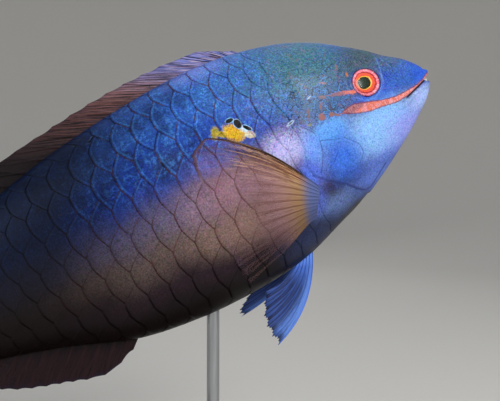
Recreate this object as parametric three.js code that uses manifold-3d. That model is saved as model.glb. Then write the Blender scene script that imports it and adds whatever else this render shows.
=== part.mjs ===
// Redband parrotfish, a full-grown male, life size, held nose-up on a plain display stand.
// Units are millimetres and +Z is up. The origin is on the floor, under the middle of the whole model.
// The fish is first drawn straight and level, with its snout at 0, 0, 0 and its head towards +X:
// "back" is the distance behind the snout, "up" the height above it, "out" the distance from the
// middle plane. The fish's right side is at -Y. It is then bent at the tail, pitched and lifted.

import * as THREE from 'three';
import { mergeVertices } from 'three/addons/utils/BufferGeometryUtils.js';
import Module from 'manifold-3d';

const wasm = await Module();
wasm.setup();

// Driving sizes
const BODY_LENGTH = 200;
const TAIL_FIN_LENGTH = 40;
const GAP = 0.3;
const NOSE_UP = THREE.MathUtils.degToRad(27);
const SNOUT_HEIGHT = 160;
const TAIL_SWING = 9;
const SWING_START = 112;
const SECTION_POWER = 2.2;
const RING_POINTS = 32;
const LONGEST_STEP = 5;
const END_BLEND = 3;
const SMALLEST = 0.02;

const EYE_BACK = 28.4;
const EYE_UP = 7.7;
const EYE_RADIUS = 5.3;
const EYE_DEPTH = 3.5;
const EYE_SUNK = 1.5;
const RIM_RADIUS = 5.65;
const RIM_THICKNESS = 0.8;
const RIM_SUNK = 0.25;
const NOSTRILS = [[15.2, 9.0, 0.75], [18.4, 10.9, 0.6]];

const MOUTH_LENGTH = 16.5;
const LIP_RADIUS = 1.4;
const LIP_SUNK = 0.5;
const LIP_AT_FRONT = 2.5;
const LIP_AT_CORNER = 1.1;
const BEAK_LENGTH = 3.4;
const BEAK_PARTING = 0.16;
const UPPER_BEAK_HEIGHT = 1.7;
const LOWER_BEAK_HEIGHT = 1.5;

const COVER_DEPTH = 2.4;
const COVER_RISE = 0.5;
const TORSO_MIDDLE = 106;
const PEDUNCLE_START = 160;

const MEMBRANE = 0.6;
const RAY = 1.35;
const RAY_SHARE = 0.3;
const RAY_AT_TIP = 0.25;
const ROOT_SINK = 2.6;
const DORSAL_RAYS = 19;
const DORSAL_SPINES = 9;
const ANAL_RAYS = 12;
const TAIL_RAYS = 14;
const SIDE_RAYS = 12;
const BELLY_RAYS = 6;

const BASE_LENGTH = 172;
const BASE_WIDTH = 88;
const BASE_HEIGHT = 9;
const BASE_CORNER = 14;
const BASE_BEVEL = 1.5;
const ROD_RADIUS = 2;
const ROD_SINK = 8;
const FRONT_ROD_BACK = 104;
const REAR_ROD_BACK = 186;

// A smooth line through a few named places, spaced by the square root of "back", so that a line
// that starts steeply at the snout stays round there.
function lineThrough(points) {
  const at = points.map(([back]) => Math.sqrt(back));
  const value = points.map((point) => point[1]);
  const last = points.length - 1;
  const rise = at.slice(1).map((q, i) => (value[i + 1] - value[i]) / (q - at[i]));
  const slope = value.map((_, i) => {
    if (i === 0) return rise[0];
    if (i === last) return rise[last - 1];
    const before = at[i] - at[i - 1];
    const after = at[i + 1] - at[i];
    return (rise[i - 1] * after + rise[i] * before) / (before + after);
  });
  return (back) => {
    const q = Math.sqrt(Math.max(back, 0));
    let i = 0;
    while (i < last - 1 && q > at[i + 1]) i += 1;
    const width = at[i + 1] - at[i];
    const s = THREE.MathUtils.clamp((q - at[i]) / width, 0, 1);
    const s2 = s * s;
    const s3 = s2 * s;
    return (2 * s3 - 3 * s2 + 1) * value[i] + (s3 - 2 * s2 + s) * width * slope[i]
      + (3 * s2 - 2 * s3) * value[i + 1] + (s3 - s2) * width * slope[i + 1];
  };
}

// The body's outline from the side, and its half width from above
const topLine = lineThrough([
  [0, -0.6], [1, 2.0], [4, 4.6], [8, 7.7], [13, 11.6], [25, 20.6], [37, 27.6], [52, 33.0],
  [65, 34.9], [80, 35.2], [102, 33.3], [130, 28.8], [150, 23.6], [170, 17.3], [185, 13.6], [200, 13.2],
]);
const lowLine = lineThrough([
  [0, -0.6], [1.2, -3.6], [4, -6.6], [9.4, -10.6], [21.5, -17.8], [38, -25.8], [55.6, -31.6],
  [69, -35.3], [89, -36.8], [110, -35.4], [127, -32.0], [150, -22.5], [170, -16.2], [185, -13.6],
  [200, -13.8],
]);
const halfWidth = lineThrough([
  [0, 0], [1, 2.2], [4, 3.9], [8, 5.6], [14, 7.6], [25, 10.8], [40, 14.2], [55, 16.2],
  [75, 16.8], [100, 15.6], [130, 11.8], [155, 8.0], [175, 5.2], [190, 3.6], [200, 2.9],
]);

// The slit of the mouth, seen from the side
function mouthLine(back) {
  return -0.6 - 3.1 * Math.pow(Math.max(back, 0) / MOUTH_LENGTH, 1.2);
}

// A point of the straight fish
function fishPoint(back, out, up) {
  return new THREE.Vector3(-back, -out, up);
}

// How far out the skin lies at a place on the side of the body
function skinOut(back, up) {
  const middle = (topLine(back) + lowLine(back)) / 2;
  const reach = (topLine(back) - lowLine(back)) / 2;
  const share = Math.min(Math.abs(up - middle) / reach, 1);
  return halfWidth(back) * Math.pow(1 - Math.pow(share, SECTION_POWER), 1 / SECTION_POWER);
}

// The direction in which the skin faces there, on the right side
function skinFacing(back, up) {
  const step = 0.5;
  const along = fishPoint(back + step, skinOut(back + step, up), up)
    .sub(fishPoint(back - step, skinOut(back - step, up), up));
  const upward = fishPoint(back, skinOut(back, up + step), up + step)
    .sub(fishPoint(back, skinOut(back, up - step), up - step));
  return upward.cross(along).normalize();
}

// Closed meshes from rings of points, with a fan over each end
function closedLoft(rings) {
  const count = rings[0].length;
  const corners = rings.flat();
  const index = [];
  for (let r = 0; r + 1 < rings.length; r += 1) {
    for (let k = 0; k < count; k += 1) {
      const a = r * count + k;
      const b = r * count + (k + 1) % count;
      index.push(a, b, a + count, b, b + count, a + count);
    }
  }
  [0, rings.length - 1].forEach((r) => {
    const centre = corners.length;
    const middle = new THREE.Vector3();
    rings[r].forEach((corner) => middle.addScaledVector(corner, 1 / count));
    corners.push(middle);
    for (let k = 0; k < count; k += 1) {
      const a = r * count + k;
      const b = r * count + (k + 1) % count;
      if (r === 0) index.push(b, a, centre);
      else index.push(a, b, centre);
    }
  });
  return facingOut(corners, index);
}

// A mesh of these corners and triangles, turned so that its faces look outwards
function facingOut(corners, index) {
  let volume = 0;
  for (let i = 0; i < index.length; i += 3) {
    const [a, b, c] = [corners[index[i]], corners[index[i + 1]], corners[index[i + 2]]];
    volume += a.dot(b.clone().cross(c));
  }
  const turned = volume < 0
    ? index.map((_, i) => index[i - (i % 3) + [0, 2, 1][i % 3]])
    : index;
  const geometry = new THREE.BufferGeometry();
  geometry.setAttribute('position', new THREE.Float32BufferAttribute(
    corners.flatMap((corner) => corner.toArray()), 3));
  geometry.setIndex(turned);
  return geometry;
}

// Solids for cutting and joining, and back again
function toSolid(geometry) {
  const bare = geometry.clone();
  bare.deleteAttribute('normal');
  bare.deleteAttribute('uv');
  const merged = mergeVertices(bare, 1e-5);
  return new wasm.Manifold(new wasm.Mesh({
    numProp: 3,
    vertProperties: new Float32Array(merged.attributes.position.array),
    triVerts: new Uint32Array(merged.index.array),
  }));
}

function toGeometry(solid) {
  const mesh = solid.getMesh();
  const geometry = new THREE.BufferGeometry();
  geometry.setAttribute('position', new THREE.BufferAttribute(new Float32Array(mesh.vertProperties), 3));
  geometry.setIndex(new THREE.BufferAttribute(new Uint32Array(mesh.triVerts), 1));
  return geometry;
}

function largest(solid) {
  return solid.decompose().sort((a, b) => b.volume() - a.volume())[0];
}

function join(solids) {
  return solids.reduce((whole, next) => whole.add(next));
}

// Where the rings of the body stand: close together at the snout, wider apart behind
function ringPlaces() {
  const places = [];
  let back = 0;
  while (back < BODY_LENGTH - 1) {
    places.push(back);
    back += Math.min(LONGEST_STEP, 0.5 + 0.13 * back);
  }
  places.push(BODY_LENGTH);
  return places;
}

// The whole body without fins, grown or shrunk all round by a small amount
function bodySolid(grow) {
  const rings = ringPlaces().map((back) => {
    const top = topLine(back) + grow;
    const low = lowLine(back) - grow;
    const wide = Math.max(halfWidth(back) + grow, SMALLEST);
    const middle = (top + low) / 2;
    const reach = Math.max((top - low) / 2, SMALLEST);
    const atNose = Math.exp(-back / END_BLEND);
    const atTail = Math.exp((back - BODY_LENGTH) / END_BLEND);
    const shift = grow * (atTail - atNose);
    return Array.from({ length: RING_POINTS }, (_, k) => {
      const turn = 2 * Math.PI * k / RING_POINTS;
      const across = Math.cos(turn);
      const rise = Math.sin(turn);
      return fishPoint(
        back + shift,
        wide * Math.sign(across) * Math.pow(Math.abs(across), 2 / SECTION_POWER),
        middle + reach * Math.sign(rise) * Math.pow(Math.abs(rise), 2 / SECTION_POWER),
      );
    });
  });
  return toSolid(closedLoft(rings));
}

// A block with this outline from the side, as [back, up] places, between two distances to the left
function block(outline, from = -60, to = 60) {
  const shape = new THREE.Shape(outline.map(([back, up]) => new THREE.Vector2(-back, up)));
  const geometry = new THREE.ExtrudeGeometry(shape, { depth: to - from, bevelEnabled: false });
  geometry.rotateX(Math.PI / 2);
  geometry.translate(0, to, 0);
  return toSolid(geometry);
}

// The same outline, moved outwards by a distance
function outset(outline, distance) {
  const count = outline.length;
  const area = outline.reduce((sum, [x, y], i) => {
    const [nextX, nextY] = outline[(i + 1) % count];
    return sum + x * nextY - nextX * y;
  }, 0);
  const side = Math.sign(area);
  return outline.map(([x, y], i) => {
    const before = new THREE.Vector2(...outline[(i + count - 1) % count]);
    const here = new THREE.Vector2(x, y);
    const after = new THREE.Vector2(...outline[(i + 1) % count]);
    const inward = here.clone().sub(before).normalize();
    const onward = after.sub(here).normalize();
    const tangent = inward.clone().add(onward).normalize();
    const stretch = 1 / Math.max(tangent.dot(inward), 0.5);
    return [x + side * tangent.y * distance * stretch, y - side * tangent.x * distance * stretch];
  });
}

// A thin wall along a line of [back, up] places, which parts what it cuts
function seam(line) {
  const there = [];
  const again = [];
  line.forEach(([back, up], i) => {
    const before = new THREE.Vector2(...line[Math.max(i - 1, 0)]);
    const after = new THREE.Vector2(...line[Math.min(i + 1, line.length - 1)]);
    const along = after.sub(before).normalize().multiplyScalar(GAP / 2);
    there.push([back - along.y, up + along.x]);
    again.unshift([back + along.y, up - along.x]);
  });
  return block([...there, ...again]);
}

function smoothLine(places, steps) {
  const curve = new THREE.SplineCurve(places.map(([back, up]) => new THREE.Vector2(back, up)));
  return curve.getPoints(steps).map((place) => [place.x, place.y]);
}

// A tube along a path, with its own radius at each step; its ends close to small caps
function tube(path, radiusAt, sides) {
  const rings = path.map((place, i) => {
    const before = path[Math.max(i - 1, 0)];
    const after = path[Math.min(i + 1, path.length - 1)];
    const along = after.clone().sub(before).normalize();
    const across = along.clone().cross(new THREE.Vector3(0, 0, 1)).normalize();
    const over = across.clone().cross(along);
    const radius = radiusAt(i / (path.length - 1));
    return Array.from({ length: sides }, (_, k) => {
      const turn = 2 * Math.PI * k / sides;
      return place.clone()
        .addScaledVector(across, radius * Math.cos(turn))
        .addScaledVector(over, radius * Math.sin(turn));
    });
  });
  return toSolid(closedLoft(rings));
}

// A fin is a sheet with a middle surface place(u, v) and a thickness, u across the rays and v along
// them. Both faces have the same grid of triangles.
function finSolid(place, thickness, acrossSteps, alongSteps) {
  const step = 0.004;
  const faces = [1, -1].map((side) => acrossSteps.map((u) => alongSteps.map((v) => {
    const acrossRays = place(u + step, v).sub(place(u - step, v));
    const alongRays = place(u, v + step).sub(place(u, v - step));
    const facing = acrossRays.cross(alongRays).normalize();
    return place(u, v).addScaledVector(facing, side * thickness(u, v) / 2);
  })));
  const rows = alongSteps.length;
  const columns = acrossSteps.length;
  const corners = faces.flat(2);
  const at = (face, i, j) => (face * columns + i) * rows + j;
  const index = [];
  const quad = (a, b, c, d) => index.push(a, b, c, a, c, d);
  for (let i = 0; i + 1 < columns; i += 1) {
    for (let j = 0; j + 1 < rows; j += 1) {
      quad(at(0, i, j), at(0, i + 1, j), at(0, i + 1, j + 1), at(0, i, j + 1));
      index.push(at(1, i, j), at(1, i + 1, j + 1), at(1, i + 1, j));
      index.push(at(1, i, j), at(1, i, j + 1), at(1, i + 1, j + 1));
    }
  }
  for (let i = 0; i + 1 < columns; i += 1) {
    quad(at(1, i, 0), at(1, i + 1, 0), at(0, i + 1, 0), at(0, i, 0));
    quad(at(0, i, rows - 1), at(0, i + 1, rows - 1), at(1, i + 1, rows - 1), at(1, i, rows - 1));
  }
  for (let j = 0; j + 1 < rows; j += 1) {
    quad(at(0, 0, j), at(0, 0, j + 1), at(1, 0, j + 1), at(1, 0, j));
    quad(at(1, columns - 1, j), at(1, columns - 1, j + 1), at(0, columns - 1, j + 1), at(0, columns - 1, j));
  }
  return toSolid(facingOut(corners, index));
}

// A fin with its rays as low ridges on both faces, thinning towards their tips
function rayedFin(place, rays, rows, from = 0, core = () => MEMBRANE) {
  const spaces = rays - 1;
  const across = steps(spaces).flatMap((u) => [-RAY_SHARE, 0, RAY_SHARE].map((side) => u + side / spaces));
  const inside = across.filter((u) => u > -1e-6 && u < 1 + 1e-6);
  const thickness = (u, v) => {
    const ridge = Math.max(1 - Math.abs(u * spaces - Math.round(u * spaces)) / RAY_SHARE, 0);
    return core(u, v) + ridge * (RAY - MEMBRANE) * mix(1, RAY_AT_TIP, Math.max(v, 0));
  };
  return finSolid(place, thickness, inside, steps(rows, from, 1));
}

// Even steps from one value to another
function steps(count, from = 0, to = 1) {
  return Array.from({ length: count + 1 }, (_, i) => from + (to - from) * i / count);
}

const mix = THREE.MathUtils.lerp;
const smoothstep = THREE.MathUtils.smoothstep;
const power = (value, exponent) => Math.pow(Math.max(value, 0), exponent);

// The body, parted by thin cuts
const body = bodySolid(0);
const bodyWithGap = bodySolid(GAP);

const gillMargin = smoothLine([
  [52, 9.5], [56.6, 6.5], [58.6, 2.8], [58.4, -0.4], [59.3, -3.9], [60.2, -7.9], [59.2, -10.9],
  [56.2, -13.6], [49.6, -18.4], [44.0, -23.2], [37.5, -27.2],
], 20);
const headSeam = [[47, 40], [48.5, 24], [50, 14], ...gillMargin, [33, -33]];
const torsoSeam = [[TORSO_MIDDLE, 50], [TORSO_MIDDLE, -50]];
const peduncleSeam = [[PEDUNCLE_START, 50], [PEDUNCLE_START, -50]];
const mouthSeam = [
  ...steps(7, -3, MOUTH_LENGTH).map((back) => [back, mouthLine(back)]),
  [18.2, -8.5], [21.5, -13.5], [26, -24],
];
const coverOutline = [
  ...gillMargin.slice(0, 18),
  ...smoothLine([[41.5, -22.3], [38.6, -15], [38, -5], [41, 3.5], [46, 8]], 8),
];

const pieces = body
  .subtract(seam(headSeam))
  .subtract(seam(torsoSeam))
  .subtract(seam(peduncleSeam))
  .subtract(seam(mouthSeam))
  .decompose();

// The piece of the parted body round this place
function pieceAround(back, up) {
  const probe = toSolid(new THREE.SphereGeometry(0.5, 8, 6).translate(-back, 0, up));
  return pieces.find((piece) => piece.intersect(probe).volume() > 0.1);
}

// Eyes: flattened balls that face out of the skin, each in its own socket with a raised rim
function eyeFrame(side) {
  const facing = skinFacing(EYE_BACK, EYE_UP);
  const centre = fishPoint(EYE_BACK, skinOut(EYE_BACK, EYE_UP), EYE_UP).addScaledVector(facing, -EYE_SUNK);
  if (side < 0) {
    facing.y *= -1;
    centre.y *= -1;
  }
  const turn = new THREE.Quaternion().setFromUnitVectors(new THREE.Vector3(0, 0, 1), facing);
  return new THREE.Matrix4().compose(centre, turn, new THREE.Vector3(1, 1, 1));
}

function eyeSolid(side, grow) {
  const ball = new THREE.SphereGeometry(1, 20, 10);
  ball.rotateX(Math.PI / 2);
  ball.scale(EYE_RADIUS + grow, EYE_RADIUS + grow, EYE_DEPTH + grow);
  return toSolid(ball.applyMatrix4(eyeFrame(side)));
}

function eyeRim(side) {
  const ring = new THREE.TorusGeometry(RIM_RADIUS, RIM_THICKNESS, 5, 22);
  ring.translate(0, 0, EYE_SUNK - RIM_SUNK);
  return toSolid(ring.applyMatrix4(eyeFrame(side)));
}

// Lips: a roll along each edge of the mouth, from one corner round the front to the other
function lip(side) {
  const edge = (back) => mouthLine(back) + side * mix(LIP_AT_FRONT, LIP_AT_CORNER, smoothstep(back, 0, 9));
  const front = steps(400, 0, 4).find((back) => edge(back) < topLine(back) && edge(back) > lowLine(back));
  const path = steps(22, -1, 1).map((t) => {
    const back = front + (MOUTH_LENGTH - 1 - front) * t * t;
    const out = Math.max(skinOut(back, edge(back)) - LIP_SUNK * Math.abs(t), 0);
    return fishPoint(back + LIP_SUNK * (1 - Math.abs(t)), Math.sign(t) * out, edge(back));
  });
  return tube(path, (s) => LIP_RADIUS * Math.pow(Math.sin(Math.PI * mix(0.06, 0.94, s)), 0.4), 6);
}

function beakOutline(side, height) {
  const places = steps(3, -3, BEAK_LENGTH);
  return [
    ...places.map((back) => [back, mouthLine(back) + side * BEAK_PARTING]),
    ...places.reverse().map((back) => [back, mouthLine(back) + side * (BEAK_PARTING + height)]),
  ];
}

// Two small nostrils on each side, ahead of the eye
function nostrils() {
  const holes = NOSTRILS.flatMap(([back, up, radius]) => [1, -1].map((side) => {
    const hole = new THREE.SphereGeometry(radius, 8, 6);
    const place = fishPoint(back, side * skinOut(back, up), up);
    return toSolid(hole.translate(...place.toArray()));
  }));
  return join(holes);
}

function coverSolid(side) {
  const [from, to] = side > 0 ? [-60, -4] : [4, 60];
  return largest(bodySolid(COVER_RISE).intersect(block(coverOutline, from, to))
    .subtract(bodySolid(-COVER_DEPTH)));
}

const coverPocket = block(outset(coverOutline, GAP)).subtract(bodySolid(-COVER_DEPTH - GAP));
const upperBeak = beakOutline(1, UPPER_BEAK_HEIGHT);
const lowerBeak = beakOutline(-1, LOWER_BEAK_HEIGHT);

const behindMouth = mouthSeam.slice().reverse();
const belowMouth = [[-4, mouthLine(0)], [-4, -30], ...behindMouth];
const aboveMouth = [[-4, mouthLine(0)], [-4, 30], [40, 30], [40, -30], ...behindMouth];

const head = largest(join([pieceAround(30, 5), lip(1), eyeRim(1), eyeRim(-1)])
  .subtract(block(belowMouth))
  .subtract(seam(mouthSeam))
  .subtract(block(outset(upperBeak, GAP)))
  .subtract(coverPocket)
  .subtract(eyeSolid(1, GAP))
  .subtract(eyeSolid(-1, GAP))
  .subtract(nostrils()));
const lowerJaw = largest(join([pieceAround(12, -8), lip(-1)])
  .subtract(block(aboveMouth))
  .subtract(seam(mouthSeam))
  .subtract(block(outset(lowerBeak, GAP))));

// Dorsal fin: spines and rays laid well back, low over the shoulders and higher behind
const DORSAL_START = 57;
const DORSAL_END = 172;
const dorsalHeight = lineThrough([
  [57, 0.2], [62, 1.4], [66, 2.9], [71, 4.2], [83, 5.0], [98, 5.8], [115, 6.2], [131, 6.6], [145, 7.6],
  [160, 8.6], [172, 8.4], [182, 6.5],
]);
function dorsalPlace(u, v) {
  const root = mix(DORSAL_START, DORSAL_END, u);
  const lean = mix(4, 11, smoothstep(u, 0, 0.12));
  const ray = u * (DORSAL_RAYS - 1);
  const spiny = 1 - smoothstep(ray, DORSAL_SPINES - 1, DORSAL_SPINES + 1);
  const notch = 1.1 * spiny * Math.abs(Math.sin(Math.PI * ray));
  const tip = root + lean - notch;
  const bottom = topLine(root) - ROOT_SINK;
  const edge = topLine(tip) + dorsalHeight(tip) - 0.6 * notch;
  return fishPoint(mix(root, tip, v), 0, mix(bottom, edge, power(v, 0.9)));
}

// Anal fin: three spines and nine soft rays, half laid back
const ANAL_START = 126;
const ANAL_END = 166;
const analDepth = lineThrough([[126, 0.5], [131, 3.5], [140, 10], [154, 11.5], [166, 10], [176, 6]]);
function analPlace(u, v) {
  const root = mix(ANAL_START, ANAL_END, u);
  const tip = root + mix(5, 10, smoothstep(u, 0, 0.3));
  const bottom = lowLine(root) + ROOT_SINK;
  const edge = lowLine(tip) - analDepth(tip);
  return fishPoint(mix(root, tip, v), 0, mix(bottom, edge, power(v, 0.9)));
}

// Tail fin: nearly square-cut, its lobes a little longer than its middle
const TAIL_ROOT = BODY_LENGTH + GAP;
const TAIL_SPREAD = 25;
const TAIL_NOTCH = 3.6;
function tailPlace(u, v) {
  const share = 2 * u - 1;
  const middle = (topLine(BODY_LENGTH) + lowLine(BODY_LENGTH)) / 2;
  const rootReach = (topLine(BODY_LENGTH) - lowLine(BODY_LENGTH)) / 2 - 0.4;
  const length = TAIL_FIN_LENGTH - TAIL_NOTCH * (1 - Math.pow(Math.abs(share), 1.6));
  const flare = mix(rootReach, TAIL_SPREAD, power(v, 0.85));
  return fishPoint(TAIL_ROOT + length * v, 0, middle + share * flare);
}
function tailThickness(u, v) {
  const share = Math.abs(2 * u - 1);
  const section = power(1 - Math.pow(share, SECTION_POWER), 1 / SECTION_POWER);
  const root = Math.max(2 * halfWidth(BODY_LENGTH) * section, 1);
  return mix(root, MEMBRANE, smoothstep(v, 0, 0.35));
}

// Side fins: a fan of rays from a short slanting root behind the gill cover
const SIDE_FIN_ANGLES = [46, -12];
const SIDE_FIN_LIFT = THREE.MathUtils.degToRad(15);
const SIDE_FIN_REACH = 28;
function sideFinLength(u) {
  const angle = THREE.MathUtils.degToRad(mix(...SIDE_FIN_ANGLES, u));
  return Math.min(SIDE_FIN_REACH / Math.cos(angle), 38.5) - 4 * power(1 - u, 8) - 3 * power(u, 3);
}
function sideFinPlace(u, v) {
  const back = mix(60.2, 65.2, u);
  const up = mix(-13.4, -24, u);
  const angle = THREE.MathUtils.degToRad(mix(...SIDE_FIN_ANGLES, u));
  const reach = sideFinLength(u) * v;
  const lift = SIDE_FIN_LIFT * (1 - 0.35 * v);
  const root = fishPoint(back, skinOut(back, up), up);
  return root.add(fishPoint(
    reach * Math.cos(angle) * Math.cos(lift),
    reach * Math.sin(lift),
    reach * Math.sin(angle) * Math.cos(lift),
  ));
}

// Belly fins: a spine and five rays, spread in a fan that curves back, with a rounded edge. The left
// one is laid closer to the belly.
const BELLY_FIN_BULGE = 2.4;
function curved(start, turn, end, t) {
  return start.clone().multiplyScalar((1 - t) * (1 - t))
    .addScaledVector(turn, 2 * t * (1 - t))
    .addScaledVector(end, t * t);
}
function bellyFinPlace(fold) {
  const leading = [
    fishPoint(67, 4.2, -34),
    fishPoint(mix(74.7, 77.5, fold), 5.5, mix(-50.2, -43.5, fold)),
    fishPoint(mix(91.5, 95.5, fold), 8.2, mix(-53.5, -44.5, fold)),
  ];
  const trailing = [
    fishPoint(72.5, 3.2, -35),
    fishPoint(mix(79, 80, fold), 4.4, mix(-38.6, -38.4, fold)),
    fishPoint(mix(87.2, 89, fold), 6, mix(-37, -38.2, fold)),
  ];
  return (u, v) => curved(...leading, v).lerp(curved(...trailing, v), u)
    .add(fishPoint(BELLY_FIN_BULGE * Math.sin(Math.PI * u) * v * v, 0, 0));
}

function clearOfBody(fin) {
  return largest(fin.subtract(bodyWithGap));
}

// The same solid on the other side of the middle plane
function mirrored(solid) {
  return toSolid(facingOut(...cornersOf(toGeometry(solid).scale(1, -1, 1))));
}

function cornersOf(geometry) {
  const position = geometry.attributes.position;
  const places = Array.from({ length: position.count }, (_, i) => i);
  const corners = places.map((i) => new THREE.Vector3().fromBufferAttribute(position, i));
  return [corners, Array.from(geometry.index.array)];
}

const sideFin = clearOfBody(rayedFin(sideFinPlace, SIDE_RAYS, 6, -0.08));
const bellyFinRight = clearOfBody(rayedFin(bellyFinPlace(0), BELLY_RAYS, 7));
const bellyFinLeft = mirrored(clearOfBody(rayedFin(bellyFinPlace(1), BELLY_RAYS, 7)));

// Colours
const BLUE = { color: 0x3d62b8, roughness: 0.45, metalness: 0 };
const PALE_BLUE = { color: 0x7f9ee0, roughness: 0.45, metalness: 0 };
const TEAL = { color: 0x4d7f97, roughness: 0.45, metalness: 0 };
const DUSK = { color: 0x5a4a63, roughness: 0.5, metalness: 0 };
const RUST = { color: 0x8c4a4a, roughness: 0.55, metalness: 0 };
const VIOLET = { color: 0x5c3158, roughness: 0.55, metalness: 0 };
const GOLD = { color: 0xa98c6f, roughness: 0.5, metalness: 0 };
const BEAK = { color: 0xf2eee0, roughness: 0.3, metalness: 0 };
const IRIS = { color: 0xe0563a, roughness: 0.15, metalness: 0 };
const STAND = { color: 0x2b2723, roughness: 0.4, metalness: 0 };
const STEEL = { color: 0xb9bcc0, roughness: 0.3, metalness: 1 };

// The fish's own group: pitched nose-up, and lifted so that the snout is at its height
const fish = new THREE.Group();
fish.rotation.y = -NOSE_UP;

function addPart(group, name, geometry, look) {
  const mesh = new THREE.Mesh(geometry, new THREE.MeshStandardMaterial(look));
  mesh.name = name;
  group.add(mesh);
}

// The tail swings gently to the fish's left, from the middle of the body backwards
function swing(back) {
  const share = Math.max(back - SWING_START, 0) / (BODY_LENGTH + TAIL_FIN_LENGTH - SWING_START);
  return TAIL_SWING * share * share;
}

function bent(geometry) {
  const position = geometry.attributes.position;
  for (let i = 0; i < position.count; i += 1) {
    position.setY(i, position.getY(i) + swing(-position.getX(i)));
  }
  return geometry;
}

const fishParts = [
  ['head', head, TEAL],
  ['lower_jaw', lowerJaw, PALE_BLUE],
  ['beak_upper', largest(body.intersect(block(upperBeak))), BEAK],
  ['beak_lower', largest(body.intersect(block(lowerBeak))), BEAK],
  ['eye_right', eyeSolid(1, 0), IRIS],
  ['eye_left', eyeSolid(-1, 0), IRIS],
  ['gill_cover_right', coverSolid(1), PALE_BLUE],
  ['gill_cover_left', coverSolid(-1), PALE_BLUE],
  ['torso_front', pieceAround(85, 0), BLUE],
  ['torso_rear', pieceAround(135, 0), DUSK],
  ['tail_peduncle', pieceAround(180, 0), DUSK],
  ['dorsal_fin', clearOfBody(rayedFin(dorsalPlace, DORSAL_RAYS, 4)), RUST],
  ['anal_fin', clearOfBody(rayedFin(analPlace, ANAL_RAYS, 4)), VIOLET],
  ['caudal_fin', rayedFin(tailPlace, TAIL_RAYS, 7, 0, tailThickness), RUST],
  ['pectoral_fin_right', sideFin, GOLD],
  ['pectoral_fin_left', mirrored(sideFin), GOLD],
  ['pelvic_fin_right', bellyFinRight, PALE_BLUE],
  ['pelvic_fin_left', bellyFinLeft, PALE_BLUE],
];
fishParts.forEach(([name, solid, look]) => addPart(fish, name, bent(toGeometry(solid)), look));

// The fish stands with the middle of its length over the origin
const span = new THREE.Box3().setFromObject(fish, true);
fish.position.set(-(span.min.x + span.max.x) / 2, 0, SNOUT_HEIGHT);
fish.updateMatrixWorld(true);

// Stand: a flat base with rounded corners and two rods, each cut to the fish's underside
function baseGeometry() {
  const length = BASE_LENGTH - 2 * BASE_BEVEL;
  const width = BASE_WIDTH - 2 * BASE_BEVEL;
  const [x, y, r] = [length / 2, width / 2, BASE_CORNER];
  const outline = new THREE.Shape();
  outline.absarc(x - r, y - r, r, 0, Math.PI / 2);
  outline.absarc(-x + r, y - r, r, Math.PI / 2, Math.PI);
  outline.absarc(-x + r, -y + r, r, Math.PI, 1.5 * Math.PI);
  outline.absarc(x - r, -y + r, r, 1.5 * Math.PI, 2 * Math.PI);
  const geometry = new THREE.ExtrudeGeometry(outline, {
    depth: BASE_HEIGHT - 2 * BASE_BEVEL,
    curveSegments: 6,
    bevelThickness: BASE_BEVEL,
    bevelSize: BASE_BEVEL,
    bevelSegments: 2,
  });
  return geometry.translate(0, 0, BASE_BEVEL);
}

const bodyInPlace = toSolid(bent(toGeometry(bodyWithGap)).applyMatrix4(fish.matrixWorld));

function rod(back) {
  const foot = fishPoint(back, 0, lowLine(back));
  foot.y += swing(back);
  foot.applyMatrix4(fish.matrixWorld);
  const height = foot.z + ROD_SINK - BASE_HEIGHT - GAP;
  const shaft = new THREE.CylinderGeometry(ROD_RADIUS, ROD_RADIUS, height, 16);
  shaft.rotateX(Math.PI / 2);
  shaft.translate(foot.x, foot.y, BASE_HEIGHT + GAP + height / 2);
  return toGeometry(largest(toSolid(shaft).subtract(bodyInPlace)));
}

const model = new THREE.Group();
model.add(fish);
addPart(model, 'stand_base', baseGeometry(), STAND);
addPart(model, 'stand_rod_front', rod(FRONT_ROD_BACK), STEEL);
addPart(model, 'stand_rod_rear', rod(REAR_ROD_BACK), STEEL);

export default model;
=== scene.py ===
"""Redband parrotfish, a full-grown male at life size, on a plain display stand."""

import math
from functools import partial

import bpy
import numpy as np
from bpy.props import FloatProperty, FloatVectorProperty, PointerProperty
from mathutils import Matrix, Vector


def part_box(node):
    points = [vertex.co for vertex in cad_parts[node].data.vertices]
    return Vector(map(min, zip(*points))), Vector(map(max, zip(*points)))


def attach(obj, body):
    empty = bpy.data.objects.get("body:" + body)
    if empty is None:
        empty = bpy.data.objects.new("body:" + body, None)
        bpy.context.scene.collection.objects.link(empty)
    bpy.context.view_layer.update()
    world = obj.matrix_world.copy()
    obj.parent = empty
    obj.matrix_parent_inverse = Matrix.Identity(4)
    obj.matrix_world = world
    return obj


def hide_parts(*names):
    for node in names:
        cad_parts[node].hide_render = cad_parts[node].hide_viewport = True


bl_info = {
    "name": "Parrotfish on a stand",
    "version": (1, 0, 0),
    "blender": (4, 5, 0),
    "location": "3D View > Sidebar > Parrotfish",
    "description": "Dresses the solids of a parrotfish model with skin, scales, fins, eyes and a stand",
    "category": "Object",
}

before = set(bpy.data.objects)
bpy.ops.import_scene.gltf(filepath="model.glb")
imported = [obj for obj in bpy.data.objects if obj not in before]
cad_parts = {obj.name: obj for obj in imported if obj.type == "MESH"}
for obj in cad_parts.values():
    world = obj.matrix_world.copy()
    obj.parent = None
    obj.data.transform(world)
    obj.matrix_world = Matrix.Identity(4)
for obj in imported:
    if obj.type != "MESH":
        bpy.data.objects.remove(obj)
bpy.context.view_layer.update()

MM = 0.001

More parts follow.
